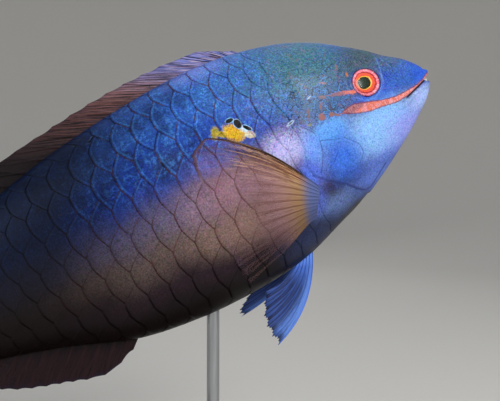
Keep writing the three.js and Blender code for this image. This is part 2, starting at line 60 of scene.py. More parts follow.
# Shape of the straight fish, in millimetres. "back" is the distance behind the snout, "up" the height
# above it, "out" the distance to the fish's right of the middle plane.
BODY_LENGTH = 200
TAIL_FIN_LENGTH = 40
TAIL_FIN_REACH = 25
TAIL_FLARE = 0.85
TAIL_HALF_THICK = 0.3
TAIL_ROOT_SHARE = 0.35
NOSE_UP = math.radians(27)
SNOUT_HEIGHT = 160
TAIL_SWING = 9
SWING_START = 112
SECTION_POWER = 2.2
SMALLEST = 0.02
FRONT_ROD_BACK = 104
REAR_ROD_BACK = 186
EYE_BACK = 28.4
EYE_UP = 7.4
EYE_SUNK = 1.5
EYE_FLATNESS = 0.79
SOCKET_RADIUS = 5.5
PUPIL_SET_BACK = 1.8
NOSTRILS = [(15.2, 9.0, 0.5), (18.4, 10.9, 0.4)]
MOUTH_START = -0.6
MOUTH_LENGTH = 16.5
MOUTH_DROP = 3.1


def line_through(points):
    """A smooth line through places spaced by the square root of "back", so that it is round at the snout"""
    at = np.sqrt([back for back, _ in points])
    value = np.array([height for _, height in points], float)
    gap = np.diff(at)
    rise = np.diff(value) / gap
    inner = (rise[:-1] * gap[1:] + rise[1:] * gap[:-1]) / (gap[:-1] + gap[1:])
    slope = np.concatenate([rise[:1], inner, rise[-1:]])

    def line(back):
        q = np.sqrt(np.maximum(back, 0))
        i = np.clip(np.searchsorted(at, q) - 1, 0, len(at) - 2)
        width = at[i + 1] - at[i]
        s = np.clip((q - at[i]) / width, 0, 1)
        bend = s * (1 - s) * ((1 - s) * slope[i] - s * slope[i + 1])
        return mix(value[i], value[i + 1], smooth(s)) + width * bend

    return line


def smooth(value, low=0.0, high=1.0):
    """A smooth step from 0 at low to 1 at high"""
    share = np.clip((value - low) / (high - low), 0, 1)
    return share * share * (3 - 2 * share)


def mix(first, second, share):
    return first + (second - first) * share


top_line = line_through([
    (0, -0.6), (1, 2.0), (4, 4.6), (8, 7.7), (13, 11.6), (25, 20.6), (37, 27.5), (52, 32.5),
    (65, 34.5), (80, 35.1), (102, 33.3), (130, 28.8), (150, 23.6), (170, 17.3), (185, 13.6), (200, 13.2),
])
low_line = line_through([
    (0, -0.6), (1.2, -3.6), (4, -6.6), (9.4, -10.6), (21.5, -17.8), (38, -25.8), (55.6, -31.6),
    (69, -35.3), (89, -36.8), (110, -35.4), (127, -32.0), (150, -22.5), (170, -16.2), (185, -13.6),
    (200, -13.8),
])
half_width = line_through([
    (0, 0), (1, 2.2), (4, 3.9), (8, 5.6), (14, 7.6), (25, 10.8), (40, 14.2), (55, 16.2),
    (75, 16.8), (100, 15.6), (130, 11.8), (155, 8.0), (175, 5.2), (190, 3.6), (200, 2.9),
])
dorsal_height = line_through([
    (57, 0.2), (62, 1.4), (66, 2.9), (71, 4.2), (83, 5.0), (98, 5.8), (115, 6.2), (131, 6.6),
    (145, 7.6), (160, 8.6), (172, 8.4), (182, 6.5),
])
anal_depth = line_through([(126, 0.5), (131, 3.5), (140, 10), (154, 11.5), (166, 10), (176, 6)])

# Lines on the side of the head, as (back, up) places
GILL_MARGIN = [
    (52, 9.5), (56.6, 6.5), (58.6, 2.8), (58.4, -0.4), (59.3, -3.9), (60.2, -7.9), (59.2, -10.9),
    (56.2, -13.6), (49.6, -18.4), (44.0, -23.2), (37.5, -27.2), (30.0, -29.5),
]
CHEEK_EDGE = [(52.7, -2.2), (48.4, -3.8), (45.0, -4.6), (42.9, -6.4), (40.7, -8.9), (40.1, -11.4), (41.1, -13.1)]
COVER_FLAP = [(56.8, 4.3), (54.2, 1.5), (53.0, -0.8), (53.4, -3.7), (54.0, -6.2), (55.3, -8.3), (57.0, -11.1)]
THROAT_FOLD = [(49.9, -18.3), (46.3, -21.7), (43.2, -23.6), (40.5, -23.8), (36.0, -21.6), (32.1, -19.3)]
MOUTH_BAND = [
    (2.2, 0.2), (5, -0.75), (7.5, -1.3), (10.8, -1.75), (15.3, -2.0), (20.1, -2.0), (23.9, -1.4),
    (27.8, -0.6), (30.5, -0.05), (33.4, 0.6), (36.5, 1.5), (38.5, 1.9), (41.2, 2.2),
]
EYE_BAR = [(34.8, 6.5), (38.4, 7.6), (42.3, 8.7)]
EYE_ARC = [(19.6, 12.6), (20.7, 9.0), (22.2, 5.6), (24.8, 2.9), (28.2, 1.7), (32.2, 2.4), (34.6, 4.4)]


def bell(distance, width):
    return np.exp(-((distance / width) ** 2))


def folds(distance, *forms):
    """Swellings and grooves along a line, each with its height, its distance from the line and its width"""
    return sum(height * bell(distance - at, width) for height, at, width in forms)


def scallops(turns):
    """The notches between rays: 0 at each ray and 1 halfway between two"""
    return np.abs(np.sin(math.pi * turns))


def power(value, exponent):
    return np.maximum(value, 0) ** exponent


def unit(vectors):
    return vectors / np.maximum(np.linalg.norm(vectors, axis=-1, keepdims=True), 1e-9)


def apart(places):
    """The three parts of places or marks, each as an array of its own"""
    return np.moveaxis(np.asarray(places, float), -1, 0)


def mouth_line(back):
    """Height of the slit of the mouth"""
    return MOUTH_START - MOUTH_DROP * (np.maximum(back, 0) / MOUTH_LENGTH) ** 1.2


def section(back):
    """Middle height, half height and half width of the body, and of the root of the tail fin behind it"""
    on = np.minimum(back, BODY_LENGTH)
    top, low = top_line(on), low_line(on)
    beyond = np.clip((back - BODY_LENGTH) / TAIL_FIN_LENGTH, 0, 1)
    reach = mix((top - low) / 2, TAIL_FIN_REACH, beyond**TAIL_FLARE)
    wide = mix(half_width(on), TAIL_HALF_THICK, smooth(beyond, 0, TAIL_ROOT_SHARE))
    return (top + low) / 2, np.maximum(reach, SMALLEST), np.maximum(wide, SMALLEST)


def rounded(share):
    """How wide a section is at this share of its half height, as a share of its widest"""
    return (1 - np.minimum(np.abs(share), 1) ** SECTION_POWER) ** (1 / SECTION_POWER)


def skin_out(back, up):
    """Distance of the skin from the middle plane"""
    middle, reach, wide = section(back)
    return wide * rounded((up - middle) / reach)


def facing(places):
    """Unit directions in which the skin faces at these places"""
    back, out, up = apart(places)
    step, slant = 0.25, SECTION_POWER - 1
    middle, reach, wide = section(back)
    climb, spread, widen = [(b - a) / (2 * step) for a, b in zip(section(back - step), section(back + step))]
    across, rise, sign = np.abs(out) / wide, np.abs(up - middle) / reach, np.sign(up - middle)
    backward = -(across**SECTION_POWER * widen / wide + rise**SECTION_POWER * spread / reach
                 + rise**slant * sign * climb / reach)
    return unit(np.stack([backward, across**slant / wide * np.sign(out), rise**slant / reach * sign], -1))


def swing(back):
    """How far the tail is bent to the fish's left"""
    share = np.maximum(back - SWING_START, 0) / (BODY_LENGTH + TAIL_FIN_LENGTH - SWING_START)
    return TAIL_SWING * share**2


def pitched(back, up):
    """Along and height of a place once the fish is pitched nose-up"""
    return (-back * math.cos(NOSE_UP) - up * math.sin(NOSE_UP),
            -back * math.sin(NOSE_UP) + up * math.cos(NOSE_UP))


ROD_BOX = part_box("stand_rod_front")
SHIFT = (ROD_BOX[0].x + ROD_BOX[1].x) / 2 / MM - pitched(FRONT_ROD_BACK, low_line(FRONT_ROD_BACK))[0]


def in_frame(places):
    """(back, out, up) places of the straight fish, as points of the whole model in metres"""
    back, out, up = apart(places)
    along, height = pitched(back, up)
    return np.stack([along + SHIFT, swing(back) - out, height + SNOUT_HEIGHT], -1) * MM


def colour(text):
    """A colour written as six hexadecimal digits, in linear light"""
    parts = [int(text[i:i + 2], 16) / 255 for i in (0, 2, 4)]
    return tuple(p / 12.92 if p <= 0.04045 else ((p + 0.055) / 1.055) ** 2.4 for p in parts)


def tint(name, description, text):
    return FloatVectorProperty(
        name=name, description=description, default=colour(text), size=3, min=0, max=1, subtype="COLOR")


def number(name, description, default, **limits):
    return FloatProperty(name=name, description=description, default=default, **limits)


def length(name, description, millimetres):
    return number(name, description, millimetres * MM, min=0, unit="LENGTH")


class SkinLooks(bpy.types.PropertyGroup):
    """Colours of the skin and the scales"""

    back: tint("Back", "Blue of the back", "2C5AB4")
    deep_blue: tint("Deep blue", "Deep blue of the upper flank", "123CA4")
    flank: tint("Flank", "Mauve of the middle of the flank", "625A7A")
    low_flank: tint("Lower flank", "Olive pink below the middle", "66544E")
    # Plum and the near-black of the belly darken the lower body: partly the fish's own colour, partly painted
    # shade
    plum: tint("Plum", "Dark plum above the belly", "24161E")
    belly: tint("Belly", "Near-black brown of the belly", "0E0606")
    # Painted shade: the flank darkens to this blue towards the tail, as if less light reached it there
    dusk: tint("Dusk", "Dark blue into which the flank fades towards the tail", "060E20")
    margin: tint("Scale margin", "Rusty shade of the line round each scale", "C4A49E")
    scale_middle: tint("Scale middle", "Pale middle of a scale", "D0D0CC")
    rust: tint("Rust", "Rust on the lines between the scales", "7E4E48")
    # Also the painted highlight beside the creases behind the eye
    sky: tint("Sky flecks", "Bright blue flecks on the shoulders", "4E98F0")
    bright_grain: tint("Bright grain", "Bright fine grain", "CCE0FF")
    dark_grain: tint("Dark grain", "Dark fine grain", "6E6E8E")
    pink_speck: tint("Pink speck", "Pinkish specks of the nape", "8C7A96")
    green_speck: tint("Green speck", "Greenish specks of the nape", "4E7C74")
    worm: tint("Worm lines", "Dusky pink lines behind the eye", "8E6070")
    band: tint("Band", "Salmon band from the mouth", "E67860")
    band_pink: tint("Pink of the band", "Pale pink in the band", "F0A2AA")
    band_edge: tint("Band edge", "Dark red edge of the band", "7A2E34")
    arc: tint("Arc", "Light blue arc round the eye", "6C9CFA")
    # Also the painted shade in the creases and wrinkles round the eye
    dark_ring: tint("Dark ring", "Dark ring in the eye socket", "12142E")
    # Painted shade in the seams and grooves of the head
    seam: tint("Seam", "Dark blue seams of the head", "1E2F7A")
    # The slit of the mouth, painted dark as shade between the lips
    mouth: tint("Mouth", "Dark slit of the mouth", "1A0D12")


class ScaleSizes(bpy.types.PropertyGroup):
    """Sizes of the scales"""

    overlap: number("Overlap", "Length of a scale in spaces between scales", 1.55, min=1, max=3)
    rise: length("Rise", "How far a scale's rear edge stands above its root", 0.09)
    sunk: length("Sunk", "How far the root lies under the skin", 0.13)
    thickness: length("Thickness", "Thickness of a scale", 0.05)
    wander: number("Wander", "Unevenness of the scales' places", 0.04, min=0, max=0.3)


class EyeLooks(bpy.types.PropertyGroup):
    """Sizes and colours of the eyes"""

    radius: length("Radius", "Radius of the eyeball where the skin meets it", 5.75)
    bulge: length("Bulge", "Height of the clear front above the skin's level", 1.5)
    pupil: length("Pupil", "Radius of the pupil", 2.75)
    pupil_green: tint("Pupil", "Dark green in the pupil", "16301F")
    inner_ring: tint("Inner ring", "Yellow ring round the pupil", "FFD23C")
    iris: tint("Iris", "Red-orange iris", "F4543A")
    outer_ring: tint("Outer ring", "Pink ring round the iris", "FA8098")


class StandLooks(bpy.types.PropertyGroup):
    """Sizes and colours of the stand"""

    corner: length("Corner", "Radius of the board's corners", 14)
    edge: length("Edge", "Rounding of the board's edges", 1.5)
    rod_radius: length("Rod", "Radius of the rods", 2)
    collar: length("Collar", "Radius of the collar at the foot of each rod", 4.2)
    wood: tint("Wood", "Stained wood of the board", "4A2F1E")
    dark_wood: tint("Dark grain", "Grain of the board", "21130B")
    steel: tint("Steel", "Brushed steel of the rods", "C4C6C9")


class StageLooks(bpy.types.PropertyGroup):
    """Camera, floor and lights"""

    azimuth: number("Azimuth", "Turn of the camera round the model", math.radians(-15), subtype="ANGLE")
    distance: length("Distance", "Distance from the camera to the middle of the fish", 192)
    aim_back: length("Aim", "Place that the camera looks at, behind the snout", 77.2)
    aim_drop: length("Aim drop", "Depth of that place below the snout", 10.2)
    lens: number("Lens", "Focal length in millimetres", 42.9, min=1)
    floor: tint("Floor", "Pale floor", "D9D7D2")
    key: number("Key light", "Power of the main light", 2.5, min=0, unit="POWER")
    fill: number("Fill light", "Power of the weaker lights", 1.4, min=0, unit="POWER")


SKIN_PAINTS = {word.replace("_", " ").capitalize(): word for word in SkinLooks.__annotations__}


# Meshes

def add_object(name, data):
    """A new object in the scene"""
    made = bpy.data.objects.new(name, data)
    bpy.context.scene.collection.objects.link(made)
    return made


def new_piece(name, points, faces, material, marks=None):
    """A smooth object from points in metres, with its marks as attributes of the points"""
    mesh = bpy.data.meshes.new(name)
    mesh.from_pydata(points.tolist(), [], [face for part in faces for face in part.tolist()], shade_flat=False)
    for label, values in (marks or {}).items():
        attribute = mesh.attributes.new(label, "FLOAT_VECTOR", "POINT")
        attribute.data.foreach_set("vector", np.asarray(values, np.float32).ravel())
    mesh.materials.append(material)
    return add_object(name, mesh)


def face_outward(mesh):
    """Turn the mesh's faces over if they look inwards"""
    mesh.calc_loop_triangles()
    points = np.empty(len(mesh.vertices) * 3, np.float32)
    corners = np.empty(len(mesh.loop_triangles) * 3, np.int32)
    mesh.vertices.foreach_get("co", points)
    mesh.loop_triangles.foreach_get("vertices", corners)
    points = points.reshape(-1, 3).astype(float)
    first, second, third = (points - points.mean(0))[corners.reshape(-1, 3)].transpose(1, 0, 2)
    if np.sum(first * np.cross(second, third)) < 0:
        mesh.flip_normals()


def seat(piece, slot, *nodes):
    """The piece rides on the one body and may stand for solids; slot is not used"""
    face_outward(piece.data)
    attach(piece, "root")
    if nodes:
        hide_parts(*nodes)


def grid_faces(rows, columns, closed=False):
    """Quads between the points of a grid, which are numbered row by row"""
    i = np.arange(rows - 1)[:, None] * columns
    j = np.arange(columns if closed else columns - 1)
    a, b = i + j, i + (j + 1) % columns
    return np.stack([a, b, b + columns, a + columns], -1).reshape(-1, 4)


def sheet_faces(rows, columns):
    """Quads of a closed sheet: a grid of points, the same grid again below it, and the wall round their edges"""
    below = rows * columns
    ids = np.arange(below).reshape(rows, columns)
    ring = np.concatenate([ids[0, :-1], ids[:-1, -1], ids[-1, :0:-1], ids[:0:-1, 0]])
    after = np.roll(ring, -1)
    wall = np.stack([ring, ring + below, after + below, after], -1)
    upper = grid_faces(rows, columns)
    return np.concatenate([upper, upper[:, ::-1] + below, wall])


def fan_faces(ring, hub, turned=False):
    """Triangles from a ring of point numbers to one point"""
    after = np.roll(ring, -1)
    hubs = np.full(len(ring), hub)
    return np.stack([after, ring, hubs] if turned else [ring, after, hubs], -1)


def tube_faces(rows, columns):
    """Faces of a closed tube: rings of points, then a point in the middle of the first ring and of the last"""
    ring, count = np.arange(columns), rows * columns
    return [grid_faces(rows, columns, closed=True), fan_faces(ring, count, turned=True),
            fan_faces(ring + count - columns, count + 1)]


def lathe(profile, sides):
    """Points and faces of a shape turned about its own Z axis, from (radius, height) places that start on it.
    If they also end on the axis, the shape is closed"""
    turn = np.arange(sides) * 2 * math.pi / sides
    closed = profile[-1][0] == 0
    rings = [[(radius * math.cos(a), radius * math.sin(a), height) for a in turn]
             for radius, height in profile[1:len(profile) - closed]]
    points = np.array([*sum(rings, []), (0, 0, profile[0][1]), (0, 0, profile[-1][1])][:None if closed else -1])
    return points, tube_faces(len(rings), sides)[:2 + closed]


def line_distance(line, back, up):
    """Distance from places on the side to a line of (back, up) places, positive behind or above it"""
    best = np.full(np.shape(back), 1e9)
    found = np.full(np.shape(back), 1e9)
    for (b0, u0), (b1, u1) in zip(line[:-1], line[1:]):
        long = math.hypot(b1 - b0, u1 - u0)
        along = np.clip(((back - b0) * (b1 - b0) + (up - u0) * (u1 - u0)) / long**2, 0, 1)
        away = np.hypot(back - b0 - along * (b1 - b0), up - u0 - along * (u1 - u0))
        side = np.sign((b1 - b0) * (up - u0) - (u1 - u0) * (back - b0))
        closer = away < best - 1e-9
        best = np.where(closer, away, best)
        found = np.where(closer, away * side, found)
    return found


# Eyes

def eye_axes(side):
    """Centre of an eye and its outward, forward and upward directions, in (back, out, up)"""
    place = np.array([EYE_BACK, skin_out(EYE_BACK, EYE_UP), EYE_UP])
    outward = facing(place)
    forward = unit(outward[0] * outward - [1, 0, 0])
    upward = np.cross(outward, forward)
    upward *= np.sign(upward[2])
    return np.array([place - EYE_SUNK * outward, outward, forward, upward]) * [1, side, 1]


def eye_distance(places):
    """Distance of places on the head from the line through the middle of the nearer eye"""
    centre, _, forward, upward = eye_axes(1)
    away = np.where([False, True, False], np.abs(places), places) - centre
    return np.hypot(away @ forward, away @ upward / EYE_FLATNESS) + np.where(places[..., 0] > 60, 9, 0)


# Skin

SKIN_COLUMNS = 288
FIRST_RING = 0.015
LAST_GAP = 0.6
HEAD_GAP = 0.34
BODY_GAP = 1.3
SNOUT_INSET = 0.75
SOCKET_DEPTH = 3.0
BODY_SUNK = 0.32
BARE_SKIN = (9, 0, 0)


def skin_marks(places):
    """What the markings read at each place: where it is, and how far the lines of the head are"""
    back, _, up = apart(places)
    middle, reach, _ = section(back)

    def away(line):
        return line_distance(line, back, up)

    return {
        "solid": places,
        "place": np.stack([back, up, np.clip((up - middle) / reach, -1, 1)], -1),
        "bands": np.stack([away(MOUTH_BAND), away(EYE_BAR), away(EYE_ARC)], -1),
        "edges": np.stack([away(GILL_MARGIN), away(CHEEK_EDGE), away(COVER_FLAP)], -1),
        "holes": np.stack([eye_distance(places), up - mouth_line(back), away(THROAT_FOLD)], -1),
    }


def relief(places, marks):
    """Height of the skin's own forms above the plain body: lips, eye sockets, nostrils and gill covers"""
    back, _, up = apart(places)
    eye, mouth, throat = apart(marks["holes"])
    gill, cheek, flap = apart(marks["edges"])
    share = apart(marks["place"])[2]
    # Slit of the mouth between its lips, and the hollow for the beak
    slit = 1 - smooth(back, MOUTH_LENGTH - 2.5, MOUTH_LENGTH + 1.5)
    lip = mix(1.9, 1.2, smooth(back, 0, 9))
    height = slit * (folds(mouth, (-1, 0, 0.4)) + folds(mouth - lip, (0.4, 0, 0.75), (-0.25, 1.5, 0.4))
                     + folds(mouth + lip, (0.3, 0, 0.8), (-0.08, -1.6, 0.6)))
    height += folds(mouth, (-1.7, -0.7, 1.2)) * (1 - smooth(back, 1, 4))
    # Eye socket and the folds round it, forehead, chin and nostrils
    height -= SOCKET_DEPTH * (1 - smooth(eye, SOCKET_RADIUS - 0.25, SOCKET_RADIUS + 0.35))
    height += folds(eye, (0.24, 5.85, 0.4), (-0.16, 6.75, 0.35), (0.12, 7.45, 0.5))
    height += folds(back, (1.2, 8.5, 5), (0.3, 4, 2.5), (0.4, 19, 6)) * smooth(share, 0.25, 0.95)
    height += folds(back, (0.1, 6, 3)) * smooth(-share, 0.3, 0.9)
    for hole_back, hole_up, radius in NOSTRILS:
        height += folds(np.hypot(back - hole_back, up - hole_up), (0.2, 2 * radius, 0.3), (-1, 0, radius))
    # Raised edge of the gill cover with its seams, and the body sunk under the scales behind it
    fade = (1 - smooth(up, 1, 6)) * smooth(back, 34, 40)
    behind = smooth(gill, 0, 1.2)
    height += fade * np.where(gill < 0, 0.22 * smooth(gill, -8, -0.5), 0.22 * (1 - behind))
    height -= fade * 0.2 * behind * (1 - smooth(gill, 1.2, 5))
    height += folds(cheek, (-0.06, 0, 0.35)) + folds(flap, (-0.14, 0, 0.4)) + folds(throat, (-0.16, 0, 0.45))
    return height - BODY_SUNK * smooth(back, 47, 60) * np.where(gill > 0.5, 1, smooth(up, 9, 16))


def skin_places():
    """Rings round the body, close together over the head, with a row of points along the slit of the mouth"""
    rings = [FIRST_RING]
    while rings[-1] < BODY_LENGTH - LAST_GAP:
        back = rings[-1]
        gap = mix(HEAD_GAP, BODY_GAP, float(smooth(back, 60, 70)))
        rings.append(back + min(0.01 + 0.2 * math.sqrt(back), gap))
    rings = np.array(rings + [BODY_LENGTH])[:, None]
    turn = np.arange(SKIN_COLUMNS) * 2 * math.pi / SKIN_COLUMNS
    middle, reach, wide = section(rings)
    share = np.sign(np.sin(turn)) * np.abs(np.sin(turn)) ** (2 / SECTION_POWER)
    pull = (mouth_line(rings) - middle) / reach * (1 - smooth(rings, 24, 48))
    share = np.clip(share + pull * (1 - share**2), -1, 1)
    out = wide * np.sign(np.cos(turn)) * rounded(share)
    return np.stack([np.broadcast_to(rings, share.shape), out, middle + reach * share], -1)


def build_skin(material):
    """The skin of the head and the body in one piece, closed at the snout and under the root of the tail fin"""
    places = skin_places()
    rows = len(places)
    normals = facing(places).reshape(-1, 3)
    places = places.reshape(-1, 3)
    marks = skin_marks(places)
    raised = places + normals * relief(places, marks)[:, None]
    snout = (SNOUT_INSET, 0, MOUTH_START)
    tail = (BODY_LENGTH, 0, raised[-SKIN_COLUMNS:, 2].mean())
    marks = {label: np.concatenate([values, values[[0, -1]]]) for label, values in marks.items()}
    marks["scale"] = np.tile(BARE_SKIN, (len(raised) + 2, 1))
    points = in_frame(np.concatenate([raised, [snout, tail]]))
    skin = new_piece("skin", points, tube_faces(rows, SKIN_COLUMNS), material, marks)
    seat(skin, "head_skin", "head", "lower_jaw", "gill_cover_right", "gill_cover_left",
         "torso_front", "torso_rear", "tail_peduncle")


# Scales: rows are numbered from the middle of the side, and MIDDLE_ROW runs along the back and the belly

row_height = line_through([(40, 8.2), (60, 9.3), (85, 9.65), (117, 9.1), (150, 7.2), (180, 5.2), (210, 4.6)])
scale_space = line_through([
    (40, 4.8), (60, 5.7), (75, 6.4), (90, 6.6), (120, 6.8), (145, 6.4), (170, 5.6), (200, 4.8)])
SIDE_ROWS = 8
MIDDLE_ROW = 20
ROW_START = 0.28
FIRST_SHIFT = 0.62
MIDDLE_SHIFT = 0.3
STEEP_ROWS = 2
STEEP_LEAN = 0.25
EVEN_LEAN = 0.46
EDGE_FLAT = 0.2
EDGE_JOINT = 0.73
SCALE_ROWS = 19
SCALE_COLUMNS = 11
SCALE_HALF = 0.84
MAP_START, MAP_LENGTH, MAP_REACH = 30, 190, 50
PATCH_SHRINK = 0.55
ARC_END = 220
ARC_SHARES = 120


def arc_table():
    """Angle round the section for each share of the way from its middle to its top, along the body"""
    backs = np.arange(ARC_END + 1.0)
    angle = np.linspace(0, math.pi / 2, 241)
    _, reach, wide = section(backs[:, None])
    out = wide * np.cos(angle) ** (2 / SECTION_POWER)
    up = reach * np.sin(angle) ** (2 / SECTION_POWER)
    steps = np.hypot(np.diff(out, axis=1), np.diff(up, axis=1))
    run = np.concatenate([np.zeros((len(backs), 1)), np.cumsum(steps, 1)], 1)
    shares = np.linspace(0, 1, ARC_SHARES + 1)
    return backs, run[:, -1], np.stack([np.interp(shares, row / row[-1], angle) for row in run])


ARC_BACKS, ARC_LENGTHS, ARC_ANGLES = arc_table()


def quarter_arc(back):
    """Distance along the skin from the middle of the side to the top of the body"""
    return np.interp(back, ARC_BACKS, ARC_LENGTHS)


def on_side(back, arc, side):
    """The place on the skin at this distance along it from the middle of the side, which may run over the top"""
    share = np.abs(arc / quarter_arc(back))
    over = share > 1
    inner = np.clip(np.where(over, 2 - share, share), 0, 1) * ARC_SHARES
    row = np.clip(back, 0, ARC_END - 0.01)
    i, j = row.astype(int), np.minimum(inner.astype(int), ARC_SHARES - 1)
    s, t = row - i, inner - j
    angle = mix(mix(ARC_ANGLES[i, j], ARC_ANGLES[i, j + 1], t),
                mix(ARC_ANGLES[i + 1, j], ARC_ANGLES[i + 1, j + 1], t), s)
    middle, reach, wide = section(back)
    out = wide * np.cos(angle) ** (2 / SECTION_POWER) * np.where(over, -1, 1) * side
    up = middle + np.sign(arc) * reach * np.sin(angle) ** (2 / SECTION_POWER)
    return np.stack([back, out, up], -1)


def lean(row):
    """How far the row above is set back from this one, in spaces between scales"""
    return np.where(row < STEEP_ROWS, STEEP_LEAN, EVEN_LEAN)


def scale_lattice():
    """(back, arc, row) of the middle of each scale's rear edge: rows along the body, each set off from the next"""
    step = 0.25
    backs = np.arange(30, 214, step)
    count = np.concatenate([[0], np.cumsum(step / scale_space(backs[:-1]))])
    found = []
    for row in range(-SIDE_ROWS, SIDE_ROWS + 1):
        shift = FIRST_SHIFT + STEEP_LEAN * min(row, STEEP_ROWS) + EVEN_LEAN * max(row - STEEP_ROWS, 0)
        turns = np.arange(math.ceil(-shift), int(count[-1] - shift))
        for back in np.interp(turns + shift, count, backs):
            found.append((back, (row - ROW_START) * row_height(back), row))
    for edge in (-1, 1):
        for back in np.interp(np.arange(MIDDLE_SHIFT, count[-1]), count, backs):
            found.append((back, edge * quarter_arc(back), MIDDLE_ROW * edge))
    return np.array(found)


def scaled(back, arc, row):
    """Whether a scale grows there: behind the gill cover and the nape, and clear of the middle lines"""
    up = on_side(back, arc, 1)[:, 2]
    behind = np.where(up > 9.5, back > 50 - 0.1 * (up - 9.5), line_distance(GILL_MARGIN, back, up) > 3)
    room = quarter_arc(back) - np.abs(arc) > 0.5 * row_height(back)
    return behind & (back < 208) & np.where(np.abs(row) > SIDE_ROWS, back > 54, room)


def doubled(values):
    """What each scale's points carry, for its upper face and again for its lower face"""
    return np.stack([values, values], 1).reshape(-1, values.shape[-1])


def build_scales(name, side, sizes, material, seed):
    """One side's scales as overlapping plates, joined in one mesh"""
    lattice = scale_lattice()
    lattice = lattice[scaled(*lattice.T)]
    if side < 0:
        lattice = lattice[np.abs(lattice[:, 2]) <= SIDE_ROWS]
    count = len(lattice)
    wander = (np.random.default_rng(seed).uniform(-1, 1, (count, 4)) * sizes.wander).T[..., None, None]
    tip, arc, row = lattice.T[..., None, None]
    space, tall = scale_space(tip), row_height(tip)
    tip, arc = tip + wander[0] * space, arc + wander[1] * tall
    long, half = sizes.overlap * space * (1 + wander[2]), SCALE_HALF * tall * (1 + wander[3])
    across = np.linspace(-1, 1, SCALE_ROWS)[:, None]
    along = np.linspace(0, 1, SCALE_COLUMNS) ** 0.8
    # The rear edge follows the edges of the scales above and below it
    bow = (np.maximum(np.abs(across) * half / tall - EDGE_FLAT, 0) / (EDGE_JOINT - EDGE_FLAT)) ** 1.3
    set_back = np.where(np.abs(row) > SIDE_ROWS, 0.5, np.where(across > 0, 1 - lean(row), lean(row - 1)))
    end = 1 - bow * set_back * space / long
    back = tip - long + long * along * end
    reach = arc + half * across * mix(0.7, 1.0, smooth(along, 0, 0.7))
    base = on_side(back, reach, side)
    normal = facing(base)
    lift = (sizes.rise * smooth(tip, 52, 68) * along * end - sizes.sunk) / MM
    ramp = np.minimum(1, 3 * (1 - along)) * np.minimum(1, 4 * (1 - np.abs(across)))
    body = sizes.thickness / MM * (0.35 + 0.65 * ramp)
    places = np.stack([base + normal * lift[..., None], base + normal * (lift - body)[..., None]], 1)
    marks = skin_marks(doubled(base))
    marks["scale"] = doubled(np.stack(np.broadcast_arrays(long * end * (1 - along), 0.0, across), -1))
    first = 2 * SCALE_ROWS * SCALE_COLUMNS * np.arange(count)[:, None, None]
    shell = (sheet_faces(SCALE_ROWS, SCALE_COLUMNS)[:, ::side] + first).reshape(-1, 4)
    piece = new_piece(name, in_frame(places.reshape(-1, 3)), [shell], material, marks)
    # Each scale is a patch of its own on the map, shrunk towards its middle
    patch = np.stack([(back - MAP_START) / MAP_LENGTH, 0.5 + 0.45 * reach / MAP_REACH], -1)
    patch = doubled(mix(patch.mean((1, 2), keepdims=True), patch, PATCH_SHRINK))
    layer = piece.data.uv_layers.new(name="OFBake")
    layer.data.foreach_set("uv", patch[shell.ravel()].astype(np.float32).ravel())
    seat(piece, "flank_skin")


# Fins: a place on a fin is (u, v), u across the rays from the front and v out along them

DORSAL_RAYS, DORSAL_SPINES = 19, 9
ANAL_RAYS, ANAL_SPINES = 12, 3
TAIL_RAYS = 14
SIDE_RAYS = 12
BELLY_RAYS = 6
BELLY_FIN_BULGE = 2.4
ROOT_DEPTH = 2.6
STEPS_PER_RAY = 20


def ray_ridge(ray, along, spines):
    """Height of the ridges of a fin's rays, from 0 between them to 1; soft rays fork twice on the way out"""
    off = ray - np.round(ray)
    soft = np.where(np.round(ray) >= spines, 1, 0)
    first = 0.19 * smooth(along, 0.3, 0.75) * soft
    second = 0.08 * smooth(along, 0.62, 1.0) * soft
    away = np.min([np.abs(off + a * first + b * second) for a in (-1, 1) for b in (-1, 1)], 0)
    width = mix(0.2, 0.075, smooth(along, 0, 0.8))
    return np.clip(1 - (away / width) ** 2, 0, 1)


def fin_sheet(name, place, rays, material, slot, node,
              core=0.3, ridge=0.7, start=0.0, rows=70, spines=0, lobe=0.0):
    """A fin as one closed sheet with its rays raised on both faces; place(u, v) is its middle"""
    u, v = np.broadcast_arrays(
        np.linspace(0, 1, (rays - 1) * STEPS_PER_RAY + 1)[:, None], np.linspace(start, 1, rows))
    step = 0.003
    normal = unit(np.cross(place(u + step, v) - place(u - step, v), place(u, v + step) - place(u, v - step)))
    ray = u * (rays - 1)
    raised = ray_ridge(ray, v, spines)
    thickness = core(u, v) if callable(core) else core
    thickness = thickness + ridge * raised * mix(1, 0.3, np.maximum(v, 0))
    half = normal * (thickness + lobe * bell(v - start, 0.12 - start / 2))[..., None] / 2
    points = in_frame([place(u, v) + half, place(u, v) - half]).reshape(-1, 3)
    marks = {"fin": [np.stack([ray, v, raised], -1)] * 2}
    seat(new_piece(name, points, [sheet_faces(*ray.shape)], material, marks), slot, node)


def upright(root, tip, bottom, edge, wave, v):
    """The middle of a fin that stands on the back or the belly"""
    return np.stack([mix(root, tip, v), wave * v, mix(bottom, edge, power(v, 0.9))], -1)


def dorsal_place(u, v):
    """Low over the shoulders and higher behind, with nine spines and ten soft rays laid well back"""
    root = mix(56, 167, u)
    ray = u * (DORSAL_RAYS - 1)
    notch = np.where(ray < DORSAL_SPINES, 0.6, 0.25) * scallops(ray)
    tip = root + mix(5, 16, smooth(u, 0, 0.12)) - notch
    edge = top_line(tip) + dorsal_height(tip) - 0.6 * notch
    return upright(root, tip, top_line(root) - ROOT_DEPTH, edge, 0.35 * np.sin(ray * 1.3), v)


def anal_place(u, v):
    """Three spines and nine soft rays, half laid back"""
    root = mix(126, 166, u)
    tip = root + mix(5, 10, smooth(u, 0, 0.3))
    edge = low_line(tip) - anal_depth(tip) + 0.4 * scallops(u * (ANAL_RAYS - 1))
    return upright(root, tip, low_line(root) + ROOT_DEPTH, edge, 0.4 * np.sin(u * 11), v)


